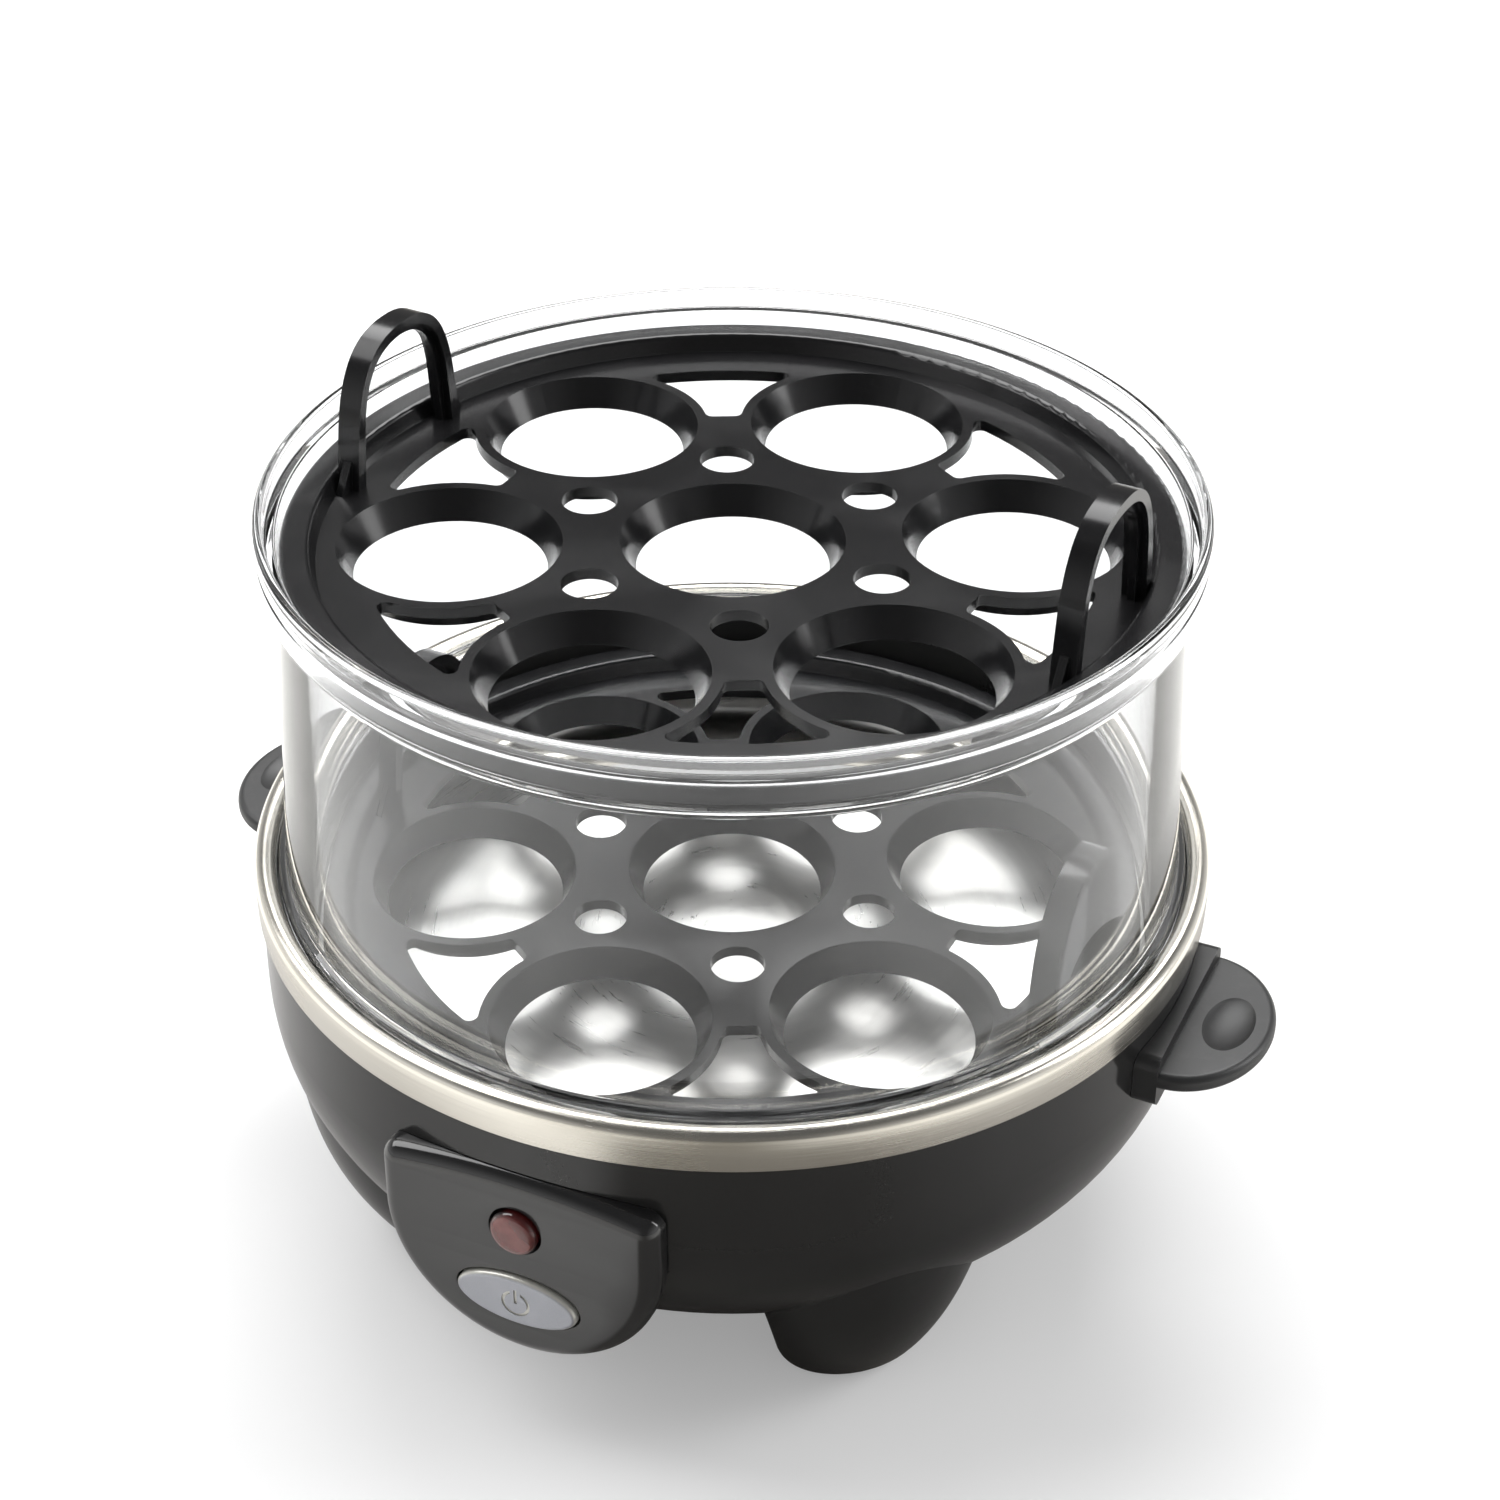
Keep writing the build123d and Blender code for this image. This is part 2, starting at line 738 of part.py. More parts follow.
with BuildPart() as steel_trim_band:
    with BuildSketch(Plane.XZ):
        with BuildLine():
            Line((trim_out_r, trim_low_z), (trim_out_r, rim_z))
            ThreePointArc(
                (trim_out_r, rim_z),
                (roll_mid_r, rim_z + trim_out_r - roll_mid_r),
                (2 * roll_mid_r - trim_out_r, rim_z),
            )
            Polyline(
                (2 * roll_mid_r - trim_out_r, rim_z),
                (2 * roll_mid_r - trim_out_r, rim_z - trim_leg),
                (2 * roll_mid_r - trim_out_r + trim_t, rim_z - trim_leg),
                (2 * roll_mid_r - trim_out_r + trim_t, rim_z),
            )
            ThreePointArc(
                (2 * roll_mid_r - trim_out_r + trim_t, rim_z),
                (roll_mid_r, rim_z + trim_out_r - trim_t - roll_mid_r),
                (trim_out_r - trim_t, rim_z),
            )
            Polyline(
                (trim_out_r - trim_t, rim_z),
                (trim_out_r - trim_t, trim_low_z),
                (trim_out_r, trim_low_z),
            )
        make_face()
    revolve(axis=Axis.Z)
    fillet(steel_trim_band.edges().group_by(Axis.Z)[0], trim_edge)

# ================= heating =================

with BuildPart() as heating_pan:
    with BuildSketch(Plane.XZ):
        with BuildLine():
            Line((0, pan_floor_z), (pan_r - pan_corner, pan_floor_z))
            JernArc((pan_r - pan_corner, pan_floor_z), (1, 0), pan_corner, 90)
            Polyline(
                (pan_r, pan_floor_z + pan_corner),
                (pan_r, pan_flange_z),
                (pan_flange_r, pan_flange_z),
                (pan_flange_r, pan_flange_z - pan_t),
                (pan_r + pan_t, pan_flange_z - pan_t),
                (pan_r + pan_t, pan_floor_z + pan_corner),
            )
            JernArc((pan_r + pan_t, pan_floor_z + pan_corner), (0, -1), pan_corner + pan_t, -90)
            Polyline((pan_r - pan_corner, pan_under_z), (0, pan_under_z), (0, pan_floor_z))
        make_face()
    revolve(axis=Axis.Z)
    lip = heating_pan.edges().filter_by(GeomType.CIRCLE)
    lip = lip.filter_by_position(Axis.Z, pan_flange_z - snug, pan_flange_z + snug)
    fillet(lip.sort_by(SortBy.RADIUS)[0], pan_lip_r)
    # studs for the clamps and for the thermostat bracket
    with BuildSketch(Plane.XY.offset(pan_under_z)):
        with PolarLocations(stud_ring_r, 3, start_angle=clamp_angle):
            Circle(stud_r)
        with Locations((-bracket_stud_x, 0), (bracket_stud_x, 0)):
            Circle(stud_r)
    extrude(amount=-stud_len)

with BuildPart() as pan_gasket:
    with BuildSketch(Plane.XZ):
        with Locations((collar_r - gasket_play, shelf_z)):
            Rectangle(
                gasket_w,
                gasket_h,
                align=(Align.MAX, Align.MIN),
            )
    revolve(axis=Axis.Z)

with BuildPart() as pan_clamps:
    with PolarLocations(0, 3, start_angle=clamp_angle):
        add(clamp_solid())

with BuildPart() as clamp_nuts:
    with BuildSketch(Plane.XY.offset(pan_under_z - clamp_t - 2 * snug)):
        with PolarLocations(stud_ring_r, 3, start_angle=clamp_angle):
            RegularPolygon(nut_r, 6)
            Circle(stud_r + thread_fit, mode=Mode.SUBTRACT)
    extrude(amount=-nut_h)

with BuildPart() as heating_element:
    half_open = element_open_angle / 2
    first = Vector(
        element_ring_r * cos(radians(90 + half_open)),
        element_ring_r * sin(radians(90 + half_open)),
        element_z,
    )
    toward = Vector(cos(radians(half_open)), sin(radians(half_open)), 0)
    drop = Vector(0, 0, -element_drop)
    with BuildLine() as heater_path:
        ring = CenterArc((0, 0, element_z), element_ring_r, 90 + half_open, 360 - element_open_angle)
        Spline(
            ring @ 0,
            (ring @ 0) + toward * element_bend_r + drop,
            tangents=[toward, (0, 0, -1)],
        )
        Spline(
            ring @ 1,
            (ring @ 1) + Vector(-toward.X, toward.Y, 0) * element_bend_r + drop,
            tangents=[Vector(-toward.X, toward.Y, 0), (0, 0, -1)],
        )
    with BuildSketch(Plane(origin=first, z_dir=ring % 0)):
        Circle(element_r)
    sweep(path=heater_path.wires()[0])

element_end = first + toward * element_bend_r + drop
with BuildPart() as element_terminals:
    with BuildSketch(Plane.XY.offset(element_end.Z - snug)):
        with Locations((element_end.X, element_end.Y), (-element_end.X, element_end.Y)):
            Circle(element_r - bead_step)
    extrude(amount=-terminal_bead)
    with BuildSketch(Plane.XY.offset(element_end.Z - terminal_bead)):
        with Locations((element_end.X, element_end.Y), (-element_end.X, element_end.Y)):
            Circle(terminal_r)
    extrude(amount=-terminal_len)

with BuildPart() as thermostat:
    with Locations((0, 0, pan_under_z - snug)):
        Cylinder(thermostat_r, thermostat_h, align=(Align.CENTER, Align.CENTER, Align.MAX))
    fillet(thermostat.edges().group_by(Axis.Z)[0], thermostat_edge)
    for side in (-1, 1):
        with Locations((0, side * thermostat_r, pan_under_z - thermostat_h / 2)):
            Box(thermostat_tab_w, 2 * thermostat_tab_l, thermostat_tab_t)

with BuildPart() as thermostat_bracket:
    with Locations((0, 0, thermostat_low_z - snug)):
        Box(
            2 * (bracket_stud_x + bracket_half_w),
            2 * bracket_half_w,
            clamp_t,
            align=(Align.CENTER, Align.CENTER, Align.MAX),
        )
    fillet(thermostat_bracket.edges().filter_by(Axis.Z), bracket_corner)
    with Locations((-bracket_stud_x, 0, thermostat_low_z), (bracket_stud_x, 0, thermostat_low_z)):
        Cylinder(stud_r + snug, 4 * clamp_t, mode=Mode.SUBTRACT)

with BuildPart() as bracket_nuts:
    with BuildSketch(Plane.XY.offset(thermostat_low_z - clamp_t - 2 * snug)):
        with Locations((-bracket_stud_x, 0), (bracket_stud_x, 0)):
            RegularPolygon(nut_r, 6)
            Circle(stud_r + thread_fit, mode=Mode.SUBTRACT)
    extrude(amount=-nut_h)

with BuildPart() as thermal_fuse:
    with Locations((0, fuse_y, fuse_z)):
        Cylinder(fuse_r, fuse_len, rotation=(0, 90, 0))
        Cylinder(fuse_wire_r, fuse_len + 2 * fuse_wire_l, rotation=(0, 90, 0))

with BuildPart() as fuse_clip:
    with BuildSketch(Plane.YZ.offset(-fuse_clip_w / 2)):
        with Locations((fuse_y, fuse_z)):
            Circle(fuse_r + snug + fuse_clip_t)
        with Locations((fuse_y, fuse_z)):
            Rectangle(
                2 * (fuse_r + snug + fuse_clip_t),
                fuse_r + snug,
                align=(Align.CENTER, Align.MIN),
            )
        with Locations((fuse_y, pan_under_z - snug)):
            Rectangle(2 * fuse_clip_half, fuse_clip_t, align=(Align.CENTER, Align.MAX))
        with Locations((fuse_y, fuse_z)):
            Circle(fuse_r + snug, mode=Mode.SUBTRACT)
            Rectangle(
                2 * (fuse_r + snug),
                4 * fuse_r,
                align=(Align.CENTER, Align.MIN),
                mode=Mode.SUBTRACT,
            )
        with Locations((fuse_y, pan_under_z - snug)):
            Rectangle(4 * fuse_clip_half, 4 * fuse_r, align=(Align.CENTER, Align.MIN), mode=Mode.SUBTRACT)
    extrude(amount=fuse_clip_w)

with BuildPart() as terminal_block:
    with Locations((0, block_y, under_z)):
        Box(block_w, block_d, block_h, align=(Align.CENTER, Align.CENTER, Align.MIN))
    fillet(terminal_block.edges().filter_by(Axis.Z), block_edge)
    with BuildSketch(Plane.XZ.offset(-(block_y - block_d / 2))):
        with Locations((-block_lead_x, block_lead_z), (block_lead_x, block_lead_z)):
            Circle(lead_r + block_hole_play)
    extrude(amount=-block_hole_depth, mode=Mode.SUBTRACT)
    with BuildSketch(Plane.XY.offset(under_z + block_h)):
        with Locations((-block_lead_x, block_y), (block_lead_x, block_y)):
            Circle(block_screw_r)
    extrude(amount=-block_screw_depth, mode=Mode.SUBTRACT)

# ================= control panel =================

with BuildPart() as control_panel:
    with BuildSketch(Plane.XZ.offset(-panel_back_y)):
        add(panel_outline(0))
    extrude(amount=panel_t - snug)
    fillet(control_panel.edges().group_by(Axis.Y)[0], panel_edge_r)
    with BuildSketch(Plane.XZ.offset(-panel_back_y)):
        with Locations((0, lens_z)):
            Circle(lens_r + snug)
        with Locations((0, button_z)):
            Ellipse(button_half_w + button_gap, button_half_h + button_gap)
    extrude(amount=2 * panel_t, mode=Mode.SUBTRACT)
    with BuildSketch(Plane.XZ.offset(-panel_back_y)):
        with Locations((-panel_screw_x, panel_screw_z), (panel_screw_x, panel_screw_z)):
            Circle(screw_r + thread_fit)
    extrude(amount=panel_t - panel_skin, mode=Mode.SUBTRACT)

with BuildPart() as panel_screws:
    with BuildSketch(Plane.XZ.offset(-pod_wall_y - snug)):
        with Locations((-panel_screw_x, panel_screw_z), (panel_screw_x, panel_screw_z)):
            Circle(screw_head_r)
    extrude(amount=-screw_head_t)
    with BuildSketch(Plane.XZ.offset(-pod_wall_y - snug)):
        with Locations((-panel_screw_x, panel_screw_z), (panel_screw_x, panel_screw_z)):
            Circle(screw_r)
    extrude(amount=wall + panel_screw_grip)

with BuildPart() as indicator_lens:
    with BuildSketch(Plane.YZ):
        with BuildLine():
            dome_base = (panel_face_y, lens_z + lens_r)
            Line((panel_face_y - lens_proud, lens_z), (panel_back_y + lens_flange_t, lens_z))
            Polyline(
                (panel_back_y + lens_flange_t, lens_z),
                (panel_back_y + lens_flange_t, lens_z + lens_flange_r),
                (panel_back_y + snug, lens_z + lens_flange_r),
                (panel_back_y + snug, lens_z + lens_r),
                dome_base,
            )
            Spline(
                dome_base,
                (panel_face_y - lens_proud, lens_z),
                tangents=[(-1, 0), (0, -1)],
            )
        make_face()
    revolve(axis=Axis((0, 0, lens_z), (0, 1, 0)))
    with BuildSketch(Plane.XZ.offset(-(panel_back_y + lens_flange_t))):
        with Locations((0, lens_z)):
            Circle(lens_bore_r)
    extrude(amount=lens_bore_depth, mode=Mode.SUBTRACT)

with BuildPart() as neon_lamp:
    with BuildSketch(Plane.XZ.offset(-(panel_face_y + lamp_inset + lamp_len))):
        with Locations((0, lens_z)):
            Circle(lamp_r)
    extrude(amount=lamp_len)

with BuildPart() as power_button:
    with BuildSketch(Plane.XZ.offset(-(panel_back_y + seat_gap))):
        with Locations((0, button_z)):
            Ellipse(button_half_w, button_half_h)
    extrude(amount=panel_t + seat_gap + button_proud)
    fillet(power_button.edges().group_by(Axis.Y)[0], button_edge)
    with BuildSketch(Plane.XZ.offset(-(panel_back_y + seat_gap))):
        with Locations((0, button_z)):
            Ellipse(button_half_w + button_flange, button_half_h + button_flange)
    extrude(amount=-button_flange_t)
    with BuildSketch(Plane.XZ.offset(-(panel_back_y + seat_gap + button_flange_t))):
        with Locations((0, button_z)):
            Circle(stem_r)
    extrude(amount=-(plunger_tip_y - snug - panel_back_y - seat_gap - button_flange_t))
    # engraved standby mark: a broken ring and a short bar
    with BuildSketch(Plane.XZ.offset(-(panel_face_y - button_proud + symbol_depth))):
        with Locations((0, button_z - symbol_drop)):
            Circle(symbol_r + symbol_w / 2)
            Circle(symbol_r - symbol_w / 2, mode=Mode.SUBTRACT)
            Rectangle(
                symbol_gap,
                2 * symbol_r,
                align=(Align.CENTER, Align.MIN),
                mode=Mode.SUBTRACT,
            )
            Rectangle(symbol_w, symbol_bar, align=(Align.CENTER, Align.MIN))
    extrude(amount=2 * symbol_depth, mode=Mode.SUBTRACT)

with BuildPart() as switch_plunger:
    with BuildSketch(Plane.XZ.offset(-plunger_tip_y)):
        with Locations((0, button_z)):
            Circle(plunger_r)
    extrude(amount=-(bracket_y + wall - plunger_tip_y))

with BuildPart() as power_switch:
    with BuildSketch(Plane.XZ.offset(-switch_back_y)):
        with Locations((0, button_z)):
            Rectangle(switch_w, switch_h)
    extrude(amount=switch_d)
    with BuildSketch(Plane.XZ.offset(-(bracket_y - snug))):
        with Locations((0, button_z)):
            Rectangle(switch_w + 2 * switch_flange_side, switch_h + 2 * switch_flange_rise)
    extrude(amount=switch_flange_t)
    with BuildSketch(Plane.XZ.offset(-switch_face_y)):
        with Locations((0, button_z)):
            Circle(plunger_r + run_fit)
    extrude(amount=-(bracket_y + wall - switch_face_y + button_travel + seat_gap), mode=Mode.SUBTRACT)
    with BuildSketch(Plane.XZ.offset(-switch_back_y)):
        with Locations((-switch_tab_x, button_z), (switch_tab_x, button_z)):
            Rectangle(switch_tab_t, switch_tab_w)
    extrude(amount=-switch_tab_l)

with BuildPart() as switch_bracket:
    with BuildSketch(Plane.XZ.offset(-bracket_y)):
        with Locations((0, boss_z - boss_r - bracket_edge)):
            Rectangle(
                2 * bracket_half,
                bracket_top_z - boss_z + boss_r + bracket_edge,
                align=(Align.CENTER, Align.MIN),
            )
        with Locations((0, bracket_low_z)):
            Rectangle(
                2 * bracket_neck,
                boss_z - bracket_low_z,
                align=(Align.CENTER, Align.MIN),
            )
        with Locations((0, button_z)):
            Rectangle(switch_w + 2 * snug, switch_h + 2 * snug, mode=Mode.SUBTRACT)
        with Locations((-boss_x, boss_z), (boss_x, boss_z)):
            Circle(screw_r + snug, mode=Mode.SUBTRACT)
    extrude(amount=-bracket_t)

with BuildPart() as switch_screws:
    with BuildSketch(Plane.XZ.offset(-(bracket_y + bracket_t + snug))):
        with Locations((-boss_x, boss_z), (boss_x, boss_z)):
            Circle(screw_head_r)
    extrude(amount=-screw_head_t)
    with BuildSketch(Plane.XZ.offset(-(bracket_y + bracket_t + snug))):
        with Locations((-boss_x, boss_z), (boss_x, boss_z)):
            Circle(screw_r)
    extrude(amount=bracket_t + boss_grip)

# ================= side handles =================

with BuildPart() as side_handle_right:
    with BuildSketch(Plane.XY.offset(tab_top_z - tab_t)):
        with BuildLine():
            Polyline(
                (tab_wall_x + tab_wall_t, tab_half),
                (rim_inner_r, tab_half),
                (rim_inner_r, -tab_half),
                (tab_wall_x + tab_wall_t, -tab_half),
            )
            EllipticalCenterArc(
                (tab_wall_x + tab_wall_t, 0),
                tab_tip_x - tab_wall_x - tab_wall_t,
                tab_half,
                start_angle=-90,
                arc_size=180,
            )
        make_face()
    extrude(amount=tab_t)
    rim = side_handle_right.edges().filter_by(GeomType.ELLIPSE)
    fillet(rim, tab_edge)
    # upright plate against the shell, and bosses for the two screws
    with BuildSketch(Plane.YZ.offset(rim_inner_r)):
        with Locations((0, tab_wall_low_z)):
            RectangleRounded(
                2 * tab_half,
                tab_top_z + tab_wall_rise - tab_wall_low_z,
                tab_wall_corner,
                align=(Align.CENTER, Align.MIN),
            )
    extrude(amount=tab_wall_x + tab_wall_t - rim_inner_r)
    with BuildSketch(Plane.YZ.offset(rim_inner_r)):
        with Locations((-handle_screw_y, handle_screw_z), (handle_screw_y, handle_screw_z)):
            Circle(root_boss_r)
    extrude(amount=root_tip_x - rim_inner_r)
    # shallow oval thumb dish
    with Locations((dish_x, 0, tab_top_z + dish_lift * dish_depth)):
        add(thumb_dish(), mode=Mode.SUBTRACT)
    # inner face follows the shell
    Cylinder(body_r + snug, 4 * tab_top_z, mode=Mode.SUBTRACT)
    with BuildSketch(Plane.YZ.offset(rim_inner_r)):
        with Locations((-handle_screw_y, handle_screw_z), (handle_screw_y, handle_screw_z)):
            Circle(screw_r + thread_fit)
    extrude(amount=root_tip_x - rim_inner_r - root_cap, mode=Mode.SUBTRACT)

with BuildPart() as side_handle_left:
    add(mirror(side_handle_right.part, about=Plane.YZ, mode=Mode.PRIVATE))

with BuildPart() as handle_screws:
    for side in (-1, 1):
        head = Plane(origin=(side * (spot_x - snug), 0, 0), x_dir=(0, side, 0), z_dir=(side, 0, 0))
        with BuildSketch(head):
            with Locations((-handle_screw_y, handle_screw_z), (handle_screw_y, handle_screw_z)):
                Circle(screw_head_r)
        extrude(amount=-screw_head_t)
        with BuildSketch(head):
            with Locations((-handle_screw_y, handle_screw_z), (handle_screw_y, handle_screw_z)):
                Circle(screw_r)
        extrude(amount=root_tip_x - spot_x - 2 * root_cap)

# ================= cord entry and wiring =================

with BuildPart() as cord_gland:
    with BuildSketch(Plane.XZ.offset(-(gland_face_y + snug))):
        with Locations((0, gland_z)):
            Circle(gland_flange_r)
    extrude(amount=-gland_flange_t)
    with BuildSketch(Plane.XZ.offset(-(gland_face_y + snug + gland_flange_t))):
        with Locations((0, gland_z)):
            Circle(gland_nose_r)
    extrude(amount=-gland_nose, taper=gland_taper)
    with BuildSketch(Plane.XZ.offset(-(gland_face_y + snug))):
        with Locations((0, gland_z)):
            Circle(gland_r)
    extrude(amount=gland_sleeve)
    with BuildSketch(Plane.XZ):
        with Locations((0, gland_z)):
            Circle(gland_bore_r)
    extrude(amount=-2 * body_r, mode=Mode.SUBTRACT)

# ends that the leads run between
block_front_y = block_y - block_d / 2 + block_hole_depth - lead_end_gap
switch_tab_y = switch_back_y + switch_tab_l + 2 * snug
thermostat_tab_y = thermostat_r + thermostat_tab_l + 2 * snug
thermostat_tab_z = pan_under_z - thermostat_h / 2
terminal_tip_z = element_end.Z - terminal_bead - terminal_len - 2 * snug
fuse_end_x = fuse_len / 2 + fuse_wire_l + 2 * snug


def lead_solid(start, start_way, end, end_way, *between):
    """Insulated lead that leaves one terminal and meets the next head-on."""
    with BuildPart() as lead:
        with BuildLine() as run:
            Spline(start, *between, end, tangents=[start_way, end_way])
        with BuildSketch(Plane(origin=start, z_dir=start_way)):
            Circle(lead_r)
        sweep(path=run.wires()[0])
    return lead.part


with BuildPart() as lead_block_to_switch:
    add(
        lead_solid(
            (-block_lead_x, block_front_y, block_lead_z),
            (0, -1, 0),
            (-switch_tab_x, switch_tab_y, button_z),
            (0, -1, 0),
            (-block_lead_x - 2 * lead_rise, switch_run_y, block_lead_z + 2 * lead_rise),
        )
    )

with BuildPart() as lead_switch_to_thermostat:
    add(
        lead_solid(
            (switch_tab_x, switch_tab_y, button_z),
            (0, 1, 0),
            (0, -thermostat_tab_y, thermostat_tab_z),
            (0, 1, 0),
            (switch_tab_x, thermostat_run_y, button_z + lead_back),
        )
    )

with BuildPart() as lead_thermostat_to_element:
    add(
        lead_solid(
            (0, thermostat_tab_y, thermostat_tab_z),
            (0, 1, 0),
            (-element_end.X, element_end.Y, terminal_tip_z),
            (0, 0, 1),
            (lead_out, thermostat_tab_y + lead_out, thermostat_tab_z - lead_drop),
            (fuse_pass_x, fuse_y, element_end.Z - lead_rise),
            (terminal_pass_x, element_end.Y - lead_back, terminal_tip_z - lead_drop),
        )
    )

with BuildPart() as lead_element_to_fuse:
    add(
        lead_solid(
            (element_end.X, element_end.Y, terminal_tip_z),
            (0, 0, -1),
            (-fuse_end_x, fuse_y, fuse_z),
            (1, 0, 0),
            (-terminal_pass_x, element_end.Y - lead_back, terminal_tip_z - lead_drop),
            (-fuse_turn_x, fuse_y + lead_back, element_end.Z + lead_rise),
        )
    )

with BuildPart() as lead_fuse_to_block:
    add(
        lead_solid(
            (fuse_end_x, fuse_y, fuse_z),
            (1, 0, 0),
            (block_lead_x, block_front_y, block_lead_z),
            (0, 1, 0),
            (fuse_turn_x - lead_rise, fuse_y - lead_out - lead_rise, element_end.Z - 2 * lead_rise),
            (lead_out, block_y - block_loop, block_lead_z + lead_rise),
        )
    )

# ================= trays and clear tier =================

with BuildPart() as lower_egg_tray:
    add(tray_solid(lower_plate_z), rotation=(0, 0, tray_turn))

with BuildPart() as clear_tier:
    with BuildSketch(Plane.XZ):
        with BuildLine():
            Polyline(
                (tier_foot_r, tier_low_z),
                (tier_foot_r, tier_low_z + tier_foot_h),
                (tier_wall_low_r, tier_low_z + tier_foot_h + tier_foot_slope),
                (tier_wall_top_r, tier_ledge_z - tier_t),
                (tier_lip_r, tier_ledge_z + tier_lip_low),
                (tier_lip_r, tier_top_z),
                (lid_seat_r, tier_top_z),
                (lid_seat_r, tier_top_z - lid_seat_z),
                (tray_r + tray_play, tier_top_z - lid_seat_z),
                (tray_r + tray_play, tier_ledge_z),
                (tier_wall_top_r - tier_t, tier_ledge_z),
                (tier_wall_low_r - tier_t, tier_low_z + tier_foot_h),
                (tier_foot_r - tier_foot_t, tier_low_z),
                close=True,
            )
        make_face()
    revolve(axis=Axis.Z)
    fillet(clear_tier.edges().group_by(Axis.Z)[-1], tier_lip_edge)
    foot_ring = clear_tier.edges().filter_by_position(
        Axis.Z, tier_low_z + tier_foot_h - snug, tier_low_z + tier_foot_h + snug
    )
    fillet(foot_ring.sort_by(SortBy.RADIUS)[-1], tier_foot_edge)
    fillet(clear_tier.edges().group_by(Axis.Z)[0], tier_base_edge)

with BuildPart() as upper_egg_tray:
    add(tray_solid(upper_plate_z), rotation=(0, 0, tray_turn))

base_housing.part.label = "base_housing"
export_step(base_housing.part, "parts/base_housing.step")
bottom_cover.part.label = "bottom_cover"
export_step(bottom_cover.part, "parts/bottom_cover.step")
cover_screws.part.label = "cover_screws"
export_step(cover_screws.part, "parts/cover_screws.step")
foot_pads.part.label = "foot_pads"
export_step(foot_pads.part, "parts/foot_pads.step")
steel_trim_band.part.label = "steel_trim_band"
export_step(steel_trim_band.part, "parts/steel_trim_band.step")
heating_pan.part.label = "heating_pan"
export_step(heating_pan.part, "parts/heating_pan.step")
pan_gasket.part.label = "pan_gasket"
export_step(pan_gasket.part, "parts/pan_gasket.step")
pan_clamps.part.label = "pan_clamps"
export_step(pan_clamps.part, "parts/pan_clamps.step")
clamp_nuts.part.label = "clamp_nuts"
export_step(clamp_nuts.part, "parts/clamp_nuts.step")
heating_element.part.label = "heating_element"
export_step(heating_element.part, "parts/heating_element.step")
element_terminals.part.label = "element_terminals"
export_step(element_terminals.part, "parts/element_terminals.step")
thermostat.part.label = "thermostat"
export_step(thermostat.part, "parts/thermostat.step")
thermostat_bracket.part.label = "thermostat_bracket"
export_step(thermostat_bracket.part, "parts/thermostat_bracket.step")
bracket_nuts.part.label = "bracket_nuts"
export_step(bracket_nuts.part, "parts/bracket_nuts.step")
thermal_fuse.part.label = "thermal_fuse"
export_step(thermal_fuse.part, "parts/thermal_fuse.step")
fuse_clip.part.label = "fuse_clip"
export_step(fuse_clip.part, "parts/fuse_clip.step")
terminal_block.part.label = "terminal_block"
export_step(terminal_block.part, "parts/terminal_block.step")
control_panel.part.label = "control_panel"
export_step(control_panel.part, "parts/control_panel.step")
panel_screws.part.label = "panel_screws"
export_step(panel_screws.part, "parts/panel_screws.step")
indicator_lens.part.label = "indicator_lens"
export_step(indicator_lens.part, "parts/indicator_lens.step")
neon_lamp.part.label = "neon_lamp"
export_step(neon_lamp.part, "parts/neon_lamp.step")
power_button.part.label = "power_button"
export_step(power_button.part, "parts/power_button.step")
switch_plunger.part.label = "switch_plunger"
export_step(switch_plunger.part, "parts/switch_plunger.step")
power_switch.part.label = "power_switch"
export_step(power_switch.part, "parts/power_switch.step")
switch_bracket.part.label = "switch_bracket"
export_step(switch_bracket.part, "parts/switch_bracket.step")
switch_screws.part.label = "switch_screws"
export_step(switch_screws.part, "parts/switch_screws.step")
side_handle_right.part.label = "side_handle_right"
export_step(side_handle_right.part, "parts/side_handle_right.step")
side_handle_left.part.label = "side_handle_left"
export_step(side_handle_left.part, "parts/side_handle_left.step")
handle_screws.part.label = "handle_screws"
export_step(handle_screws.part, "parts/handle_screws.step")
cord_gland.part.label = "cord_gland"
export_step(cord_gland.part, "parts/cord_gland.step")
lead_block_to_switch.part.label = "lead_block_to_switch"
export_step(lead_block_to_switch.part, "parts/lead_block_to_switch.step")
lead_switch_to_thermostat.part.label = "lead_switch_to_thermostat"
export_step(lead_switch_to_thermostat.part, "parts/lead_switch_to_thermostat.step")
lead_thermostat_to_element.part.label = "lead_thermostat_to_element"
export_step(lead_thermostat_to_element.part, "parts/lead_thermostat_to_element.step")
lead_element_to_fuse.part.label = "lead_element_to_fuse"
export_step(lead_element_to_fuse.part, "parts/lead_element_to_fuse.step")
lead_fuse_to_block.part.label = "lead_fuse_to_block"
export_step(lead_fuse_to_block.part, "parts/lead_fuse_to_block.step")
lower_egg_tray.part.label = "lower_egg_tray"
export_step(lower_egg_tray.part, "parts/lower_egg_tray.step")
clear_tier.part.label = "clear_tier"
export_step(clear_tier.part, "parts/clear_tier.step")
upper_egg_tray.part.label = "upper_egg_tray"
export_step(upper_egg_tray.part, "parts/upper_egg_tray.step")
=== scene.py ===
"""Looks of a two-tier electric egg cooker: finishes, detail pieces, floor, lights and camera.

Pieces are drawn in millimetres. Finishes, lamps and the camera count in metres.
"""

import json
import math

import bmesh
import bpy
from mathutils import Matrix, Vector
from mathutils.geometry import tessellate_polygon


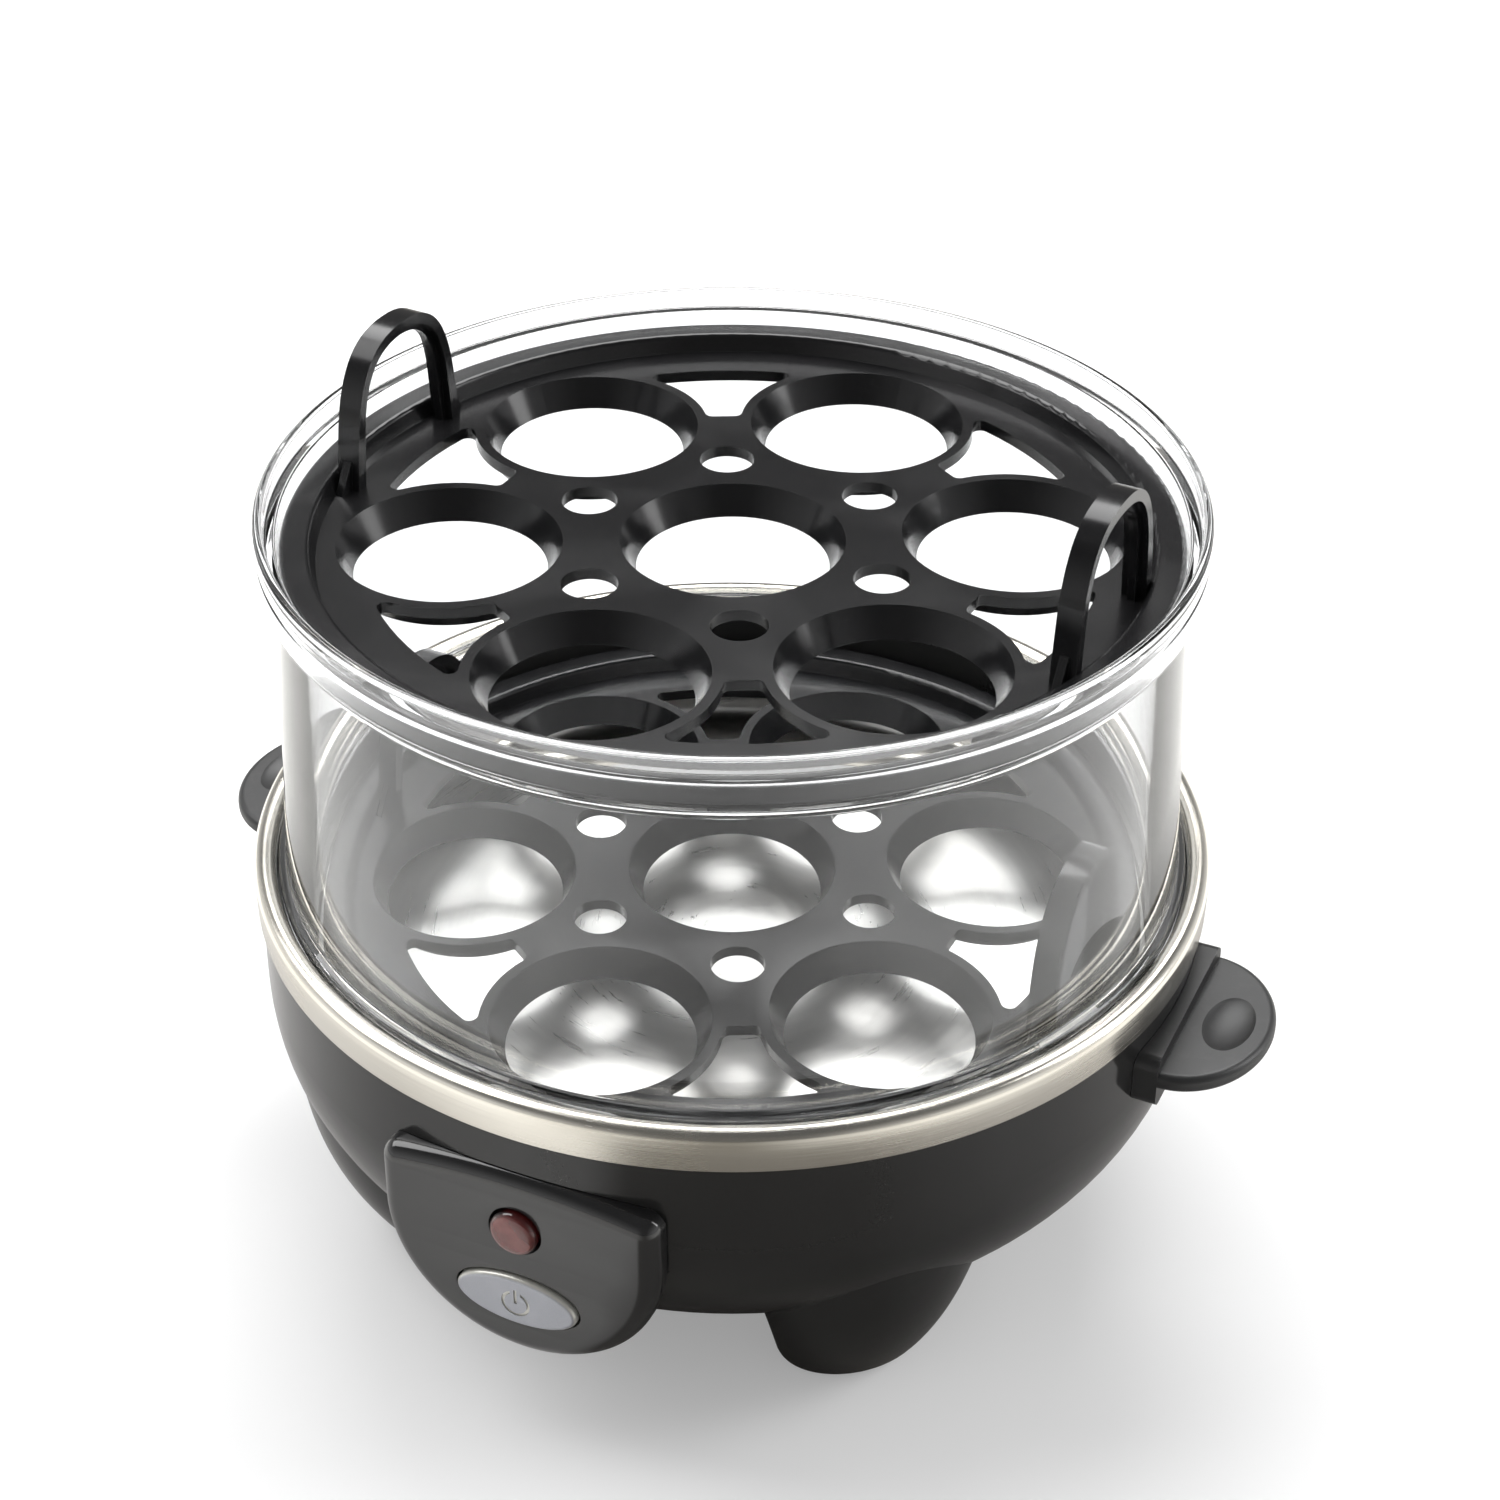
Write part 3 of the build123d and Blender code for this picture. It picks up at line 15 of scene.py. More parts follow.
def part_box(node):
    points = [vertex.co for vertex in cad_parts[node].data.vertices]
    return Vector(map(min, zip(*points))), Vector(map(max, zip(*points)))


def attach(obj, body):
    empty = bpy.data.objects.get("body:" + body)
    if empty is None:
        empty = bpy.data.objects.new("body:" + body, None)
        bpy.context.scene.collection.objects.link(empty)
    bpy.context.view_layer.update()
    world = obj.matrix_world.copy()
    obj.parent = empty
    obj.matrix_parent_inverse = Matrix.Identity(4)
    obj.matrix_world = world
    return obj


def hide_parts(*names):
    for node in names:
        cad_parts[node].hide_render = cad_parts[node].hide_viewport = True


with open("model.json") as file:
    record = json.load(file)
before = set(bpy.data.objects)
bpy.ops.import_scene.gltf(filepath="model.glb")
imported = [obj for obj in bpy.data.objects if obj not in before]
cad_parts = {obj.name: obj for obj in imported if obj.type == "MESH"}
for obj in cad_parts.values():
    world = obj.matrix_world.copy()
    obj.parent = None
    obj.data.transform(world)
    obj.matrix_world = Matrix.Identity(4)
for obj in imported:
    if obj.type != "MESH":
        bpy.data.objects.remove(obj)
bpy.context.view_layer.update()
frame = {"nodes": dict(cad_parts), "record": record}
scene = bpy.context.scene


# ---------------------------------------------------------------- shared sizes and colours
def box_in_mm(node_name):
    """Lowest and highest corner of a CAD node, in millimetres."""
    return [[round(size * 1000, 2) for size in corner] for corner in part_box(node_name)]


def middle_level(node_name):
    """Height of a CAD node's middle, in millimetres."""
    low, high = box_in_mm(node_name)
    return round((low[2] + high[2]) / 2, 1)


PANEL_FACE = -83.7
LENS_LEVEL = middle_level("indicator_lens")
BUTTON_LEVEL = middle_level("power_button")

# Most values of a noise lie between these two.
NOISE_LOW, NOISE_HIGH = 0.3, 0.7

WHITE = (1.0, 1.0, 1.0)
PLASTIC_DUST = (0.34, 0.33, 0.31)
RUBBER_DUST = (0.5, 0.48, 0.45)


# ---------------------------------------------------------------- node helpers
def link(tree, source, target):
    tree.links.new(source, target)


def feed(tree, value, target):
    """Sets an input to a number or a colour, or links it to another node's output."""
    if isinstance(value, (int, float)):
        target.default_value = value
    elif isinstance(value, tuple):
        target.default_value = (*value, 1.0)
    else:
        link(tree, value, target)


def node(tree, kind, **settings):
    made = tree.nodes.new(kind)
    for name, value in settings.items():
        setattr(made, name, value)
    return made


def math_node(tree, operation, first, second=None, clamp=False):
    made = node(tree, "ShaderNodeMath", operation=operation, use_clamp=clamp)
    feed(tree, first, made.inputs[0])
    if second is not None:
        feed(tree, second, made.inputs[1])
    return made.outputs[0]


def plus(tree, first, second, clamp=False):
    return math_node(tree, "ADD", first, second, clamp)


def times(tree, first, second):
    return math_node(tree, "MULTIPLY", first, second)


def vector_node(tree, operation, first, second=None):
    """A vector sum, product or measure; the second vector is fixed or comes from another node."""
    made = node(tree, "ShaderNodeVectorMath", operation=operation)
    link(tree, first, made.inputs[0])
    if isinstance(second, tuple):
        made.inputs[1].default_value = second
    elif second is not None:
        link(tree, second, made.inputs[1])
    return made.outputs["Value" if operation in ("DOT_PRODUCT", "LENGTH") else "Vector"]


def axes_of(tree, vector):
    made = node(tree, "ShaderNodeSeparateXYZ")
    link(tree, vector, made.inputs[0])
    return made.outputs


def noise(tree, vector, scale, detail=3.0, roughness=0.55, distortion=0.0):
    made = node(tree, "ShaderNodeTexNoise", noise_dimensions="3D")
    made.inputs["Detail"].default_value = detail
    made.inputs["Roughness"].default_value = roughness
    made.inputs["Distortion"].default_value = distortion
    feed(tree, scale, made.inputs["Scale"])
    link(tree, vector, made.inputs["Vector"])
    return made.outputs["Fac"]


def remap(tree, value, low, high, to_low=0.0, to_high=1.0):
    made = node(tree, "ShaderNodeMapRange", clamp=True)
    link(tree, value, made.inputs["Value"])
    made.inputs["From Min"].default_value = low
    made.inputs["From Max"].default_value = high
    made.inputs["To Min"].default_value = to_low
    made.inputs["To Max"].default_value = to_high
    return made.outputs["Result"]


def over_noise(tree, value, to_low=0.0, to_high=1.0):
    """Spreads the values that a noise mostly has over a range."""
    return remap(tree, value, NOISE_LOW, NOISE_HIGH, to_low, to_high)


def mix_colour(tree, share, first, second):
    made = node(tree, "ShaderNodeMix", data_type="RGBA", blend_type="MIX")
    feed(tree, share, made.inputs["Factor"])
    feed(tree, first, made.inputs["A"])
    feed(tree, second, made.inputs["B"])
    return made.outputs["Result"]


def shaded(colour, share):
    """A colour made darker or lighter."""
    return tuple(min(1.0, part * share) for part in colour)


def bump(tree, height, strength, depth):
    made = node(tree, "ShaderNodeBump")
    made.inputs["Strength"].default_value = strength
    made.inputs["Distance"].default_value = depth
    link(tree, height, made.inputs["Height"])
    return made.outputs["Normal"]


# ---------------------------------------------------------------- shared effects
def new_effect(name, inputs, outputs):
    """A shader group that takes a vector and named numbers, and gives named values."""
    tree = bpy.data.node_groups.new(name, "ShaderNodeTree")
    tree.interface.new_socket("Vector", in_out="INPUT", socket_type="NodeSocketVector")
    for socket_name, value in inputs.items():
        socket = tree.interface.new_socket(socket_name, in_out="INPUT", socket_type="NodeSocketFloat")
        socket.default_value = value
    for socket_name in outputs:
        tree.interface.new_socket(socket_name, in_out="OUTPUT", socket_type="NodeSocketFloat")
    return tree, node(tree, "NodeGroupInput").outputs, node(tree, "NodeGroupOutput").inputs


def mould_grain_effect():
    """Fine spark-eroded grain of a moulding tool, with slow waves from sink and flow."""
    wave_part = 0.7
    tree, given, made = new_effect(
        "mould_grain",
        {"Grain Scale": 2600.0, "Wave Scale": 22.0, "Wave Share": 0.35},
        ("Height", "Mottle"),
    )
    fine = noise(tree, given["Vector"], given["Grain Scale"], detail=2.0, roughness=0.6)
    waves = noise(tree, given["Vector"], given["Wave Scale"], detail=1.0, roughness=0.4)
    link(tree, plus(tree, fine, times(tree, waves, given["Wave Share"])), made["Height"])
    mixed = plus(tree, times(tree, waves, wave_part), times(tree, fine, 1 - wave_part))
    link(tree, mixed, made["Mottle"])
    return tree


def handling_effect():
    """Soft finger smudges and light dust that lies on upward faces."""
    smudge_edge, speck_edge, level_faces = (0.46, 0.68), (0.5, 0.75), (0.5, 1.0)
    tree, given, made = new_effect(
        "handling", {"Smudge Scale": 38.0, "Dust Scale": 420.0}, ("Smudge", "Dust")
    )
    blots = noise(
        tree, given["Vector"], given["Smudge Scale"], detail=2.0, roughness=0.5, distortion=0.6
    )
    link(tree, remap(tree, blots, *smudge_edge), made["Smudge"])
    specks = noise(tree, given["Vector"], given["Dust Scale"], detail=4.0, roughness=0.7)
    facing = node(tree, "ShaderNodeNewGeometry")
    lying = remap(tree, axes_of(tree, facing.outputs["Normal"])["Z"], *level_faces)
    link(tree, times(tree, remap(tree, specks, *speck_edge), lying), made["Dust"])
    return tree


def edge_effect():
    """1 on sharp outer edges, broken up by noise, where rubbing polishes or bares the surface."""
    turned_away, rubbed_part = (0.995, 0.9), (0.38, 0.62)
    tree, given, made = new_effect("worn_edges", {"Width": 0.0005, "Break Scale": 160.0}, ("Mask",))
    rounded = node(tree, "ShaderNodeBevel", samples=6)
    link(tree, given["Width"], rounded.inputs["Radius"])
    plain = node(tree, "ShaderNodeNewGeometry")
    alike = vector_node(tree, "DOT_PRODUCT", rounded.outputs["Normal"], plain.outputs["Normal"])
    edge = remap(tree, alike, *turned_away)
    breaks = noise(tree, given["Vector"], given["Break Scale"], detail=3.0, roughness=0.6)
    link(tree, times(tree, edge, remap(tree, breaks, *rubbed_part)), made["Mask"])
    return tree


def turned_brush_effect():
    """Brush lines that run round the upright axis, as on a band polished while it spins."""
    tree, given, made = new_effect(
        "turned_brush", {"Line Scale": 3200.0, "Sweep Scale": 2.5}, ("Height", "Streak")
    )
    axis = axes_of(tree, given["Vector"])
    from_axis = math_node(
        tree, "SQRT", plus(tree, times(tree, axis["X"], axis["X"]), times(tree, axis["Y"], axis["Y"]))
    )
    flat = node(tree, "ShaderNodeCombineXYZ")
    link(tree, axis["X"], flat.inputs["X"])
    link(tree, axis["Y"], flat.inputs["Y"])
    round_part = node(tree, "ShaderNodeVectorMath", operation="SCALE")
    link(tree, vector_node(tree, "NORMALIZE", flat.outputs[0]), round_part.inputs[0])
    link(tree, given["Sweep Scale"], round_part.inputs["Scale"])
    lifted = node(tree, "ShaderNodeCombineXYZ")
    level = times(tree, plus(tree, from_axis, axis["Z"]), given["Line Scale"])
    link(tree, level, lifted.inputs["Z"])
    place = vector_node(tree, "ADD", round_part.outputs[0], lifted.outputs[0])
    lines = noise(tree, place, 1.0, detail=4.0, roughness=0.7)
    link(tree, lines, made["Height"])
    link(tree, over_noise(tree, lines), made["Streak"])
    return tree


EFFECTS = {
    "grain": mould_grain_effect(),
    "handling": handling_effect(),
    "edges": edge_effect(),
    "brush": turned_brush_effect(),
}


def place_effect(tree, effect, vector, **values):
    made = node(tree, "ShaderNodeGroup", node_tree=EFFECTS[effect])
    link(tree, vector, made.inputs["Vector"])
    for name, value in values.items():
        made.inputs[name.replace("_", " ")].default_value = value
    return made.outputs


# ---------------------------------------------------------------- finishes
def new_finish(name):
    made = bpy.data.materials.new(name)
    made.use_nodes = True
    tree = made.node_tree
    tree.nodes.clear()
    coords = node(tree, "ShaderNodeTexCoord")
    shader = node(tree, "ShaderNodeBsdfPrincipled")
    out = node(tree, "ShaderNodeOutputMaterial")
    link(tree, shader.outputs[0], out.inputs["Surface"])
    return made, tree, coords.outputs["Object"], shader, out


def dress(tree, shader, colour, rough, normal=None, **values):
    """Links colour, roughness and normal, which change over a piece, and sets the plain values."""
    link(tree, colour, shader.inputs["Base Color"])
    link(tree, rough, shader.inputs["Roughness"])
    if normal is not None:
        link(tree, normal, shader.inputs["Normal"])
    for name, value in values.items():
        shader.inputs[name.replace("_", " ")].default_value = value


def moulded_plastic(
    name, colour, worn, rough, grain_scale, grain_depth, coat=0.0, coat_rough=0.1, dust=0.03, mirror=0.5
):
    """Moulded plastic: tool grain, slow waves, smudges, a little dust and paler rubbed edges."""
    mottle_lift, edge_share = 1.16, 0.3
    rough_swing, smudge_dulling = 0.03, 0.06
    made, tree, at, shader, _ = new_finish(name)
    grain = place_effect(tree, "grain", at, Grain_Scale=grain_scale)
    touch = place_effect(tree, "handling", at)
    edges = place_effect(tree, "edges", at)
    tint = mix_colour(tree, over_noise(tree, grain["Mottle"]), colour, shaded(colour, mottle_lift))
    tint = mix_colour(tree, times(tree, edges["Mask"], edge_share), tint, worn)
    tint = mix_colour(tree, times(tree, touch["Dust"], dust), tint, PLASTIC_DUST)
    spread = over_noise(tree, grain["Mottle"], rough - rough_swing, rough + rough_swing)
    dress(
        tree,
        shader,
        tint,
        plus(tree, spread, times(tree, touch["Smudge"], smudge_dulling), clamp=True),
        bump(tree, grain["Height"], strength=0.12, depth=grain_depth),
        IOR=1.5,
        Specular_IOR_Level=mirror,
        Coat_Weight=coat,
        Coat_Roughness=coat_rough,
    )
    return made


def turned_steel(name, colour, rough, line_scale, depth, tint=(0.62, 0.56, 0.47), marks=0.25):
    """Steel brushed in rings round the upright axis, with warm handling marks."""
    streak_drop, smudge_dulling = 0.92, 0.08
    smoother, rougher = 0.05, 0.06
    made, tree, at, shader, _ = new_finish(name)
    brush = place_effect(tree, "brush", at, Line_Scale=line_scale)
    touch = place_effect(tree, "handling", at, Smudge_Scale=24.0)
    shade = mix_colour(tree, brush["Streak"], shaded(colour, streak_drop), colour)
    shade = mix_colour(tree, times(tree, touch["Smudge"], marks), shade, tint)
    spread = remap(tree, brush["Streak"], 0.0, 1.0, rough - smoother, rough + rougher)
    dress(
        tree,
        shader,
        shade,
        plus(tree, spread, times(tree, touch["Smudge"], smudge_dulling)),
        bump(tree, brush["Height"], strength=0.5, depth=depth),
        Metallic=1.0,
    )
    return made


def plated_steel(name, colour, rough):
    """Zinc or nickel plating: a cloudy, slightly stained metal."""
    cloud_scale, cloud_drop = 900.0, 0.82
    stain, stain_share = (0.42, 0.4, 0.36), 0.3
    smoother, rougher = 0.06, 0.08
    made, tree, at, shader, _ = new_finish(name)
    touch = place_effect(tree, "handling", at, Smudge_Scale=260.0)
    cloud = noise(tree, at, cloud_scale, detail=3.0, roughness=0.6)
    shade = mix_colour(tree, over_noise(tree, cloud), shaded(colour, cloud_drop), colour)
    shade = mix_colour(tree, times(tree, touch["Smudge"], stain_share), shade, stain)
    spread = over_noise(tree, cloud, rough - smoother, rough + rougher)
    dress(tree, shader, shade, spread, bump(tree, cloud, strength=0.2, depth=0.00005), Metallic=1.0)
    return made


def element_tube(name):
    """Heat-dulled element sheath, blued and browned in patches."""
    dulled, blued, browned = (0.34, 0.31, 0.28), (0.2, 0.2, 0.23), (0.36, 0.27, 0.18)
    blued_patches, browned_patches, rough_range = (0.35, 0.6), (0.6, 0.75), (0.38, 0.55)
    patch_scale, pit_scale = 55.0, 1800.0
    made, tree, at, shader, _ = new_finish(name)
    patches = noise(tree, at, patch_scale, detail=4.0, roughness=0.6, distortion=0.4)
    shade = mix_colour(tree, remap(tree, patches, *blued_patches), dulled, blued)
    shade = mix_colour(tree, remap(tree, patches, *browned_patches), shade, browned)
    pits = bump(tree, noise(tree, at, pit_scale), strength=0.3, depth=0.00005)
    dress(tree, shader, shade, over_noise(tree, patches, *rough_range), pits, Metallic=0.85)
    return made


def ceramic(name, colour, rough):
    """Fired steatite: chalky, faintly speckled, with soiled edges."""
    speck_scale, speck_drop, dark_specks = 1500.0, 0.86, (0.55, 0.72)
    soil, soil_share = (0.6, 0.57, 0.5), 0.3
    smoother, rougher = 0.05, 0.06
    made, tree, at, shader, _ = new_finish(name)
    specks = noise(tree, at, speck_scale, detail=4.0, roughness=0.7)
    edges = place_effect(tree, "edges", at, Width=0.0004)
    shade = mix_colour(tree, remap(tree, specks, *dark_specks), colour, shaded(colour, speck_drop))
    shade = mix_colour(tree, times(tree, edges["Mask"], soil_share), shade, soil)
    spread = over_noise(tree, specks, rough - smoother, rough + rougher)
    dress(tree, shader, shade, spread, bump(tree, specks, strength=0.3, depth=0.00004))
    return made


def rubber(name, colour, rough, dust=0.25):
    """Soft rubber: fine matte grain with dust caught in it."""
    mottle_lift, rough_swing = 1.25, 0.05
    made, tree, at, shader, _ = new_finish(name)
    grain = place_effect(tree, "grain", at, Grain_Scale=1900.0, Wave_Share=0.15)
    touch = place_effect(tree, "handling", at, Dust_Scale=700.0)
    shade = mix_colour(tree, over_noise(tree, grain["Mottle"]), colour, shaded(colour, mottle_lift))
    shade = mix_colour(tree, times(tree, touch["Dust"], dust), shade, RUBBER_DUST)
    spread = over_noise(tree, grain["Mottle"], rough - rough_swing, rough + rough_swing)
    pores = bump(tree, grain["Height"], strength=0.4, depth=0.00006)
    dress(tree, shader, shade, spread, pores, Sheen_Weight=0.06)
    return made


def clear_plastic(name):
    """Clear moulded plastic: near-colourless, with slow flow waves and a trace of haze."""
    faint_grey, near_clear = (0.965, 0.972, 0.975), (0.985, 0.988, 0.988)
    shadow_tint, haze = (0.93, 0.94, 0.94), 0.02
    made, tree, at, shader, out = new_finish(name)
    grain = place_effect(tree, "grain", at, Grain_Scale=26.0, Wave_Scale=9.0, Wave_Share=1.4)
    touch = place_effect(tree, "handling", at, Smudge_Scale=30.0)
    dress(
        tree,
        shader,
        mix_colour(tree, over_noise(tree, grain["Mottle"]), faint_grey, near_clear),
        remap(tree, touch["Smudge"], 0.0, 1.0, 0.0, haze),
        bump(tree, grain["Height"], strength=0.02, depth=0.0003),
        Transmission_Weight=1.0,
        IOR=1.49,
    )
    through = node(tree, "ShaderNodeBsdfTransparent")
    feed(tree, shadow_tint, through.inputs["Color"])
    rays = node(tree, "ShaderNodeLightPath")
    both = node(tree, "ShaderNodeMixShader")
    link(tree, rays.outputs["Is Shadow Ray"], both.inputs[0])
    link(tree, shader.outputs[0], both.inputs[1])
    link(tree, through.outputs[0], both.inputs[2])
    link(tree, both.outputs[0], out.inputs["Surface"])
    return made


def tinted_lens(name, colour):
    """Red indicator lens: tinted, a little cloudy inside, polished outside, with painted shade in a dark
    ring at its rim and on its upper right side.
    """
    cloud_scale, cloud_drop, cloudy_part = 420.0, 0.75, (0.35, 0.65)
    rough_range = (0.08, 0.2)
    rim_shade_ring, rim_painted_shade = (0.0035, 0.0041), (0.012, 0.006, 0.006)
    side_shade_run, side_shade_share, side_painted_shade = (0.0016, 0.0034), 0.6, (0.1, 0.008, 0.008)
    made, tree, at, shader, _ = new_finish(name)
    cloud = noise(tree, at, cloud_scale, detail=3.0, roughness=0.6)
    shade = mix_colour(tree, remap(tree, cloud, *cloudy_part), shaded(colour, cloud_drop), colour)
    # Painted shade: the rim of the lens darkened into a dark ring.
    centred = vector_node(tree, "SUBTRACT", at, (0.0, PANEL_FACE / 1000, LENS_LEVEL / 1000))
    across = vector_node(tree, "MULTIPLY", centred, (1.0, 0.0, 1.0))
    rim_shade_mask = remap(tree, vector_node(tree, "LENGTH", across), *rim_shade_ring)
    shade = mix_colour(tree, rim_shade_mask, shade, rim_painted_shade)
    # Painted shade: the upper right side of the lens darkened.
    side = axes_of(tree, centred)
    upper_right_shade_mask = remap(tree, plus(tree, side["X"], side["Z"]), *side_shade_run)
    shade = mix_colour(tree, times(tree, upper_right_shade_mask, side_shade_share), shade, side_painted_shade)
    dress(
        tree,
        shader,
        shade,
        over_noise(tree, cloud, *rough_range),
        bump(tree, cloud, strength=0.15, depth=0.00005),
        Transmission_Weight=0.35,
        IOR=1.5,
        Coat_Weight=0.6,
        Coat_Roughness=0.05,
    )
    return made


def lamp_glass(name):
    """Small glass lamp with a faint orange tint."""
    deep, pale, rough_range = (0.85, 0.5, 0.38), (0.95, 0.68, 0.55), (0.04, 0.12)
    made, tree, at, shader, _ = new_finish(name)
    cloud = noise(tree, at, 700.0, detail=2.0, roughness=0.5)
    shade = mix_colour(tree, over_noise(tree, cloud), deep, pale)
    dress(tree, shader, shade, over_noise(tree, cloud, *rough_range), Transmission_Weight=0.7)
    return made


def silver_paint(name, colour):
    """Silver paint: fine metal flake under a thin clear coat, touched dull, with a warmer sunk symbol."""
    flake_scale, flake_drop, bright_flakes = 5200.0, 0.88, (0.4, 0.6)
    metal_range, rough_range = (0.35, 0.65), (0.28, 0.42)
    touched, touched_share = (0.5, 0.5, 0.54), 0.2
    symbol_depth, symbol_paint = (-0.08452, -0.08434), (0.66, 0.65, 0.6)
    made, tree, at, shader, _ = new_finish(name)
    flake = noise(tree, at, flake_scale, detail=2.0, roughness=0.5)
    touch = place_effect(tree, "handling", at, Smudge_Scale=160.0)
    shade = mix_colour(tree, remap(tree, flake, *bright_flakes), shaded(colour, flake_drop), colour)
    shade = mix_colour(tree, times(tree, touch["Smudge"], touched_share), shade, touched)
    sunk = remap(tree, axes_of(tree, at)["Y"], *symbol_depth)
    shade = mix_colour(tree, sunk, shade, symbol_paint)
    link(tree, over_noise(tree, flake, *metal_range), shader.inputs["Metallic"])
    dress(
        tree,
        shader,
        shade,
        over_noise(tree, flake, *rough_range),
        bump(tree, flake, strength=0.1, depth=0.00002),
        Coat_Weight=0.5,
        Coat_Roughness=0.12,
    )
    return made


FINISHES = {
    "black_shell": moulded_plastic(
        "satin_black_shell",
        colour=(0.016, 0.0158, 0.0155),
        worn=(0.05, 0.05, 0.05),
        rough=0.13,
        grain_scale=1400.0,
        grain_depth=0.000006,
        coat=0.12,
        coat_rough=0.06,
        mirror=0.4,
    ),
    "gloss_black": moulded_plastic(
        "gloss_black_panel",
        colour=(0.013, 0.013, 0.0135),
        worn=(0.08, 0.08, 0.08),
        rough=0.14,
        grain_scale=1400.0,
        grain_depth=0.00001,
        coat=0.5,
        coat_rough=0.05,
    ),
    "tray_black": moulded_plastic(
        "satin_black_tray",
        colour=(0.007, 0.007, 0.0075),
        worn=(0.03, 0.03, 0.03),
        rough=0.17,
        grain_scale=1400.0,
        grain_depth=0.000003,
        coat=0.05,
        coat_rough=0.1,
        dust=0.012,
        mirror=0.34,
    ),
    "clear_plastic": clear_plastic("clear_tier_plastic"),
    "trim_steel": turned_steel(
        "brushed_band_steel", (0.8, 0.77, 0.7), rough=0.19, line_scale=3200.0, depth=0.00002
    ),
    "pan_steel": turned_steel(
        "drawn_pan_steel",
        (0.66, 0.655, 0.64),
        rough=0.3,
        line_scale=900.0,
        depth=0.000003,
        tint=(0.5, 0.46, 0.4),
        marks=0.12,
    ),
    "clamp_steel": plated_steel("zinc_strip", (0.6, 0.6, 0.6), rough=0.36),
    "screw_steel": plated_steel("zinc_screws", (0.64, 0.64, 0.63), rough=0.3),
    "element_metal": element_tube("element_sheath"),
    "terminal_metal": plated_steel("nickel_terminals", (0.62, 0.6, 0.56), rough=0.28),
    "thermostat_body": ceramic("thermostat_ceramic", (0.82, 0.81, 0.76), rough=0.55),
    "fuse_body": ceramic("fuse_ceramic", (0.76, 0.75, 0.7), rough=0.5),
    "block_plastic": moulded_plastic(
        "natural_block",
        colour=(0.74, 0.73, 0.68),
        worn=(0.8, 0.79, 0.75),
        rough=0.42,
        grain_scale=1800.0,
        grain_depth=0.00004,
    ),
    "switch_body": moulded_plastic(
        "black_switch_case",
        colour=(0.05, 0.05, 0.054),
        worn=(0.16, 0.16, 0.16),
        rough=0.45,
        grain_scale=2000.0,
        grain_depth=0.00005,
    ),
    "red_lens": tinted_lens("red_indicator_lens", (0.3, 0.075, 0.065)),
    "lamp_glass": lamp_glass("neon_lamp_glass"),
    "silver_button": silver_paint("silver_button_paint", (0.4, 0.41, 0.45)),
    "gasket_rubber": rubber("grey_silicone_gasket", (0.46, 0.45, 0.43), rough=0.6),
    "pad_rubber": rubber("black_pad_rubber", (0.05, 0.05, 0.05), rough=0.75),
    "gland_rubber": rubber("black_gland_rubber", (0.035, 0.035, 0.035), rough=0.62),
    "lead_black": rubber("black_lead_sleeve", (0.04, 0.04, 0.04), rough=0.5, dust=0.1),
    "lead_white": rubber("white_lead_sleeve", (0.72, 0.72, 0.69), rough=0.5, dust=0.1),
}

HANDLE_FINISH = moulded_plastic(
    "matte_black_handle",
    colour=(0.02, 0.02, 0.0205),
    worn=(0.07, 0.07, 0.07),
    rough=0.4,
    grain_scale=1800.0,
    grain_depth=0.00003,
)

for part in frame["record"]["subparts"]:
    shown = frame["nodes"][part["node"]]
    on_handle = part["node"].startswith("side_handle")
    for place in shown.material_slots:
        place.material = HANDLE_FINISH if on_handle else FINISHES[part["material_slot"]]


# ---------------------------------------------------------------- shape trees
def shape_tree(name, numbers):
    """A shape tree that takes a mesh, named numbers and a finish, and gives the made mesh."""
    tree = bpy.data.node_groups.new(name, "GeometryNodeTree")
    tree.interface.new_socket("Geometry", in_out="INPUT", socket_type="NodeSocketGeometry")
    for socket_name, kind, value in numbers:
        tree.interface.new_socket(socket_name, in_out="INPUT", socket_type=kind).default_value = value
    tree.interface.new_socket("Finish", in_out="INPUT", socket_type="NodeSocketMaterial")
    tree.interface.new_socket("Geometry", in_out="OUTPUT", socket_type="NodeSocketGeometry")
    return tree, node(tree, "NodeGroupInput").outputs, node(tree, "NodeGroupOutput").inputs


def set_finish(tree, given, made, shape):
    """Ends a shape tree: gives the shape its finish and hands it out."""
    finish = node(tree, "GeometryNodeSetMaterial")
    link(tree, shape, finish.inputs["Geometry"])
    link(tree, given["Finish"], finish.inputs["Material"])
    link(tree, finish.outputs["Geometry"], made["Geometry"])


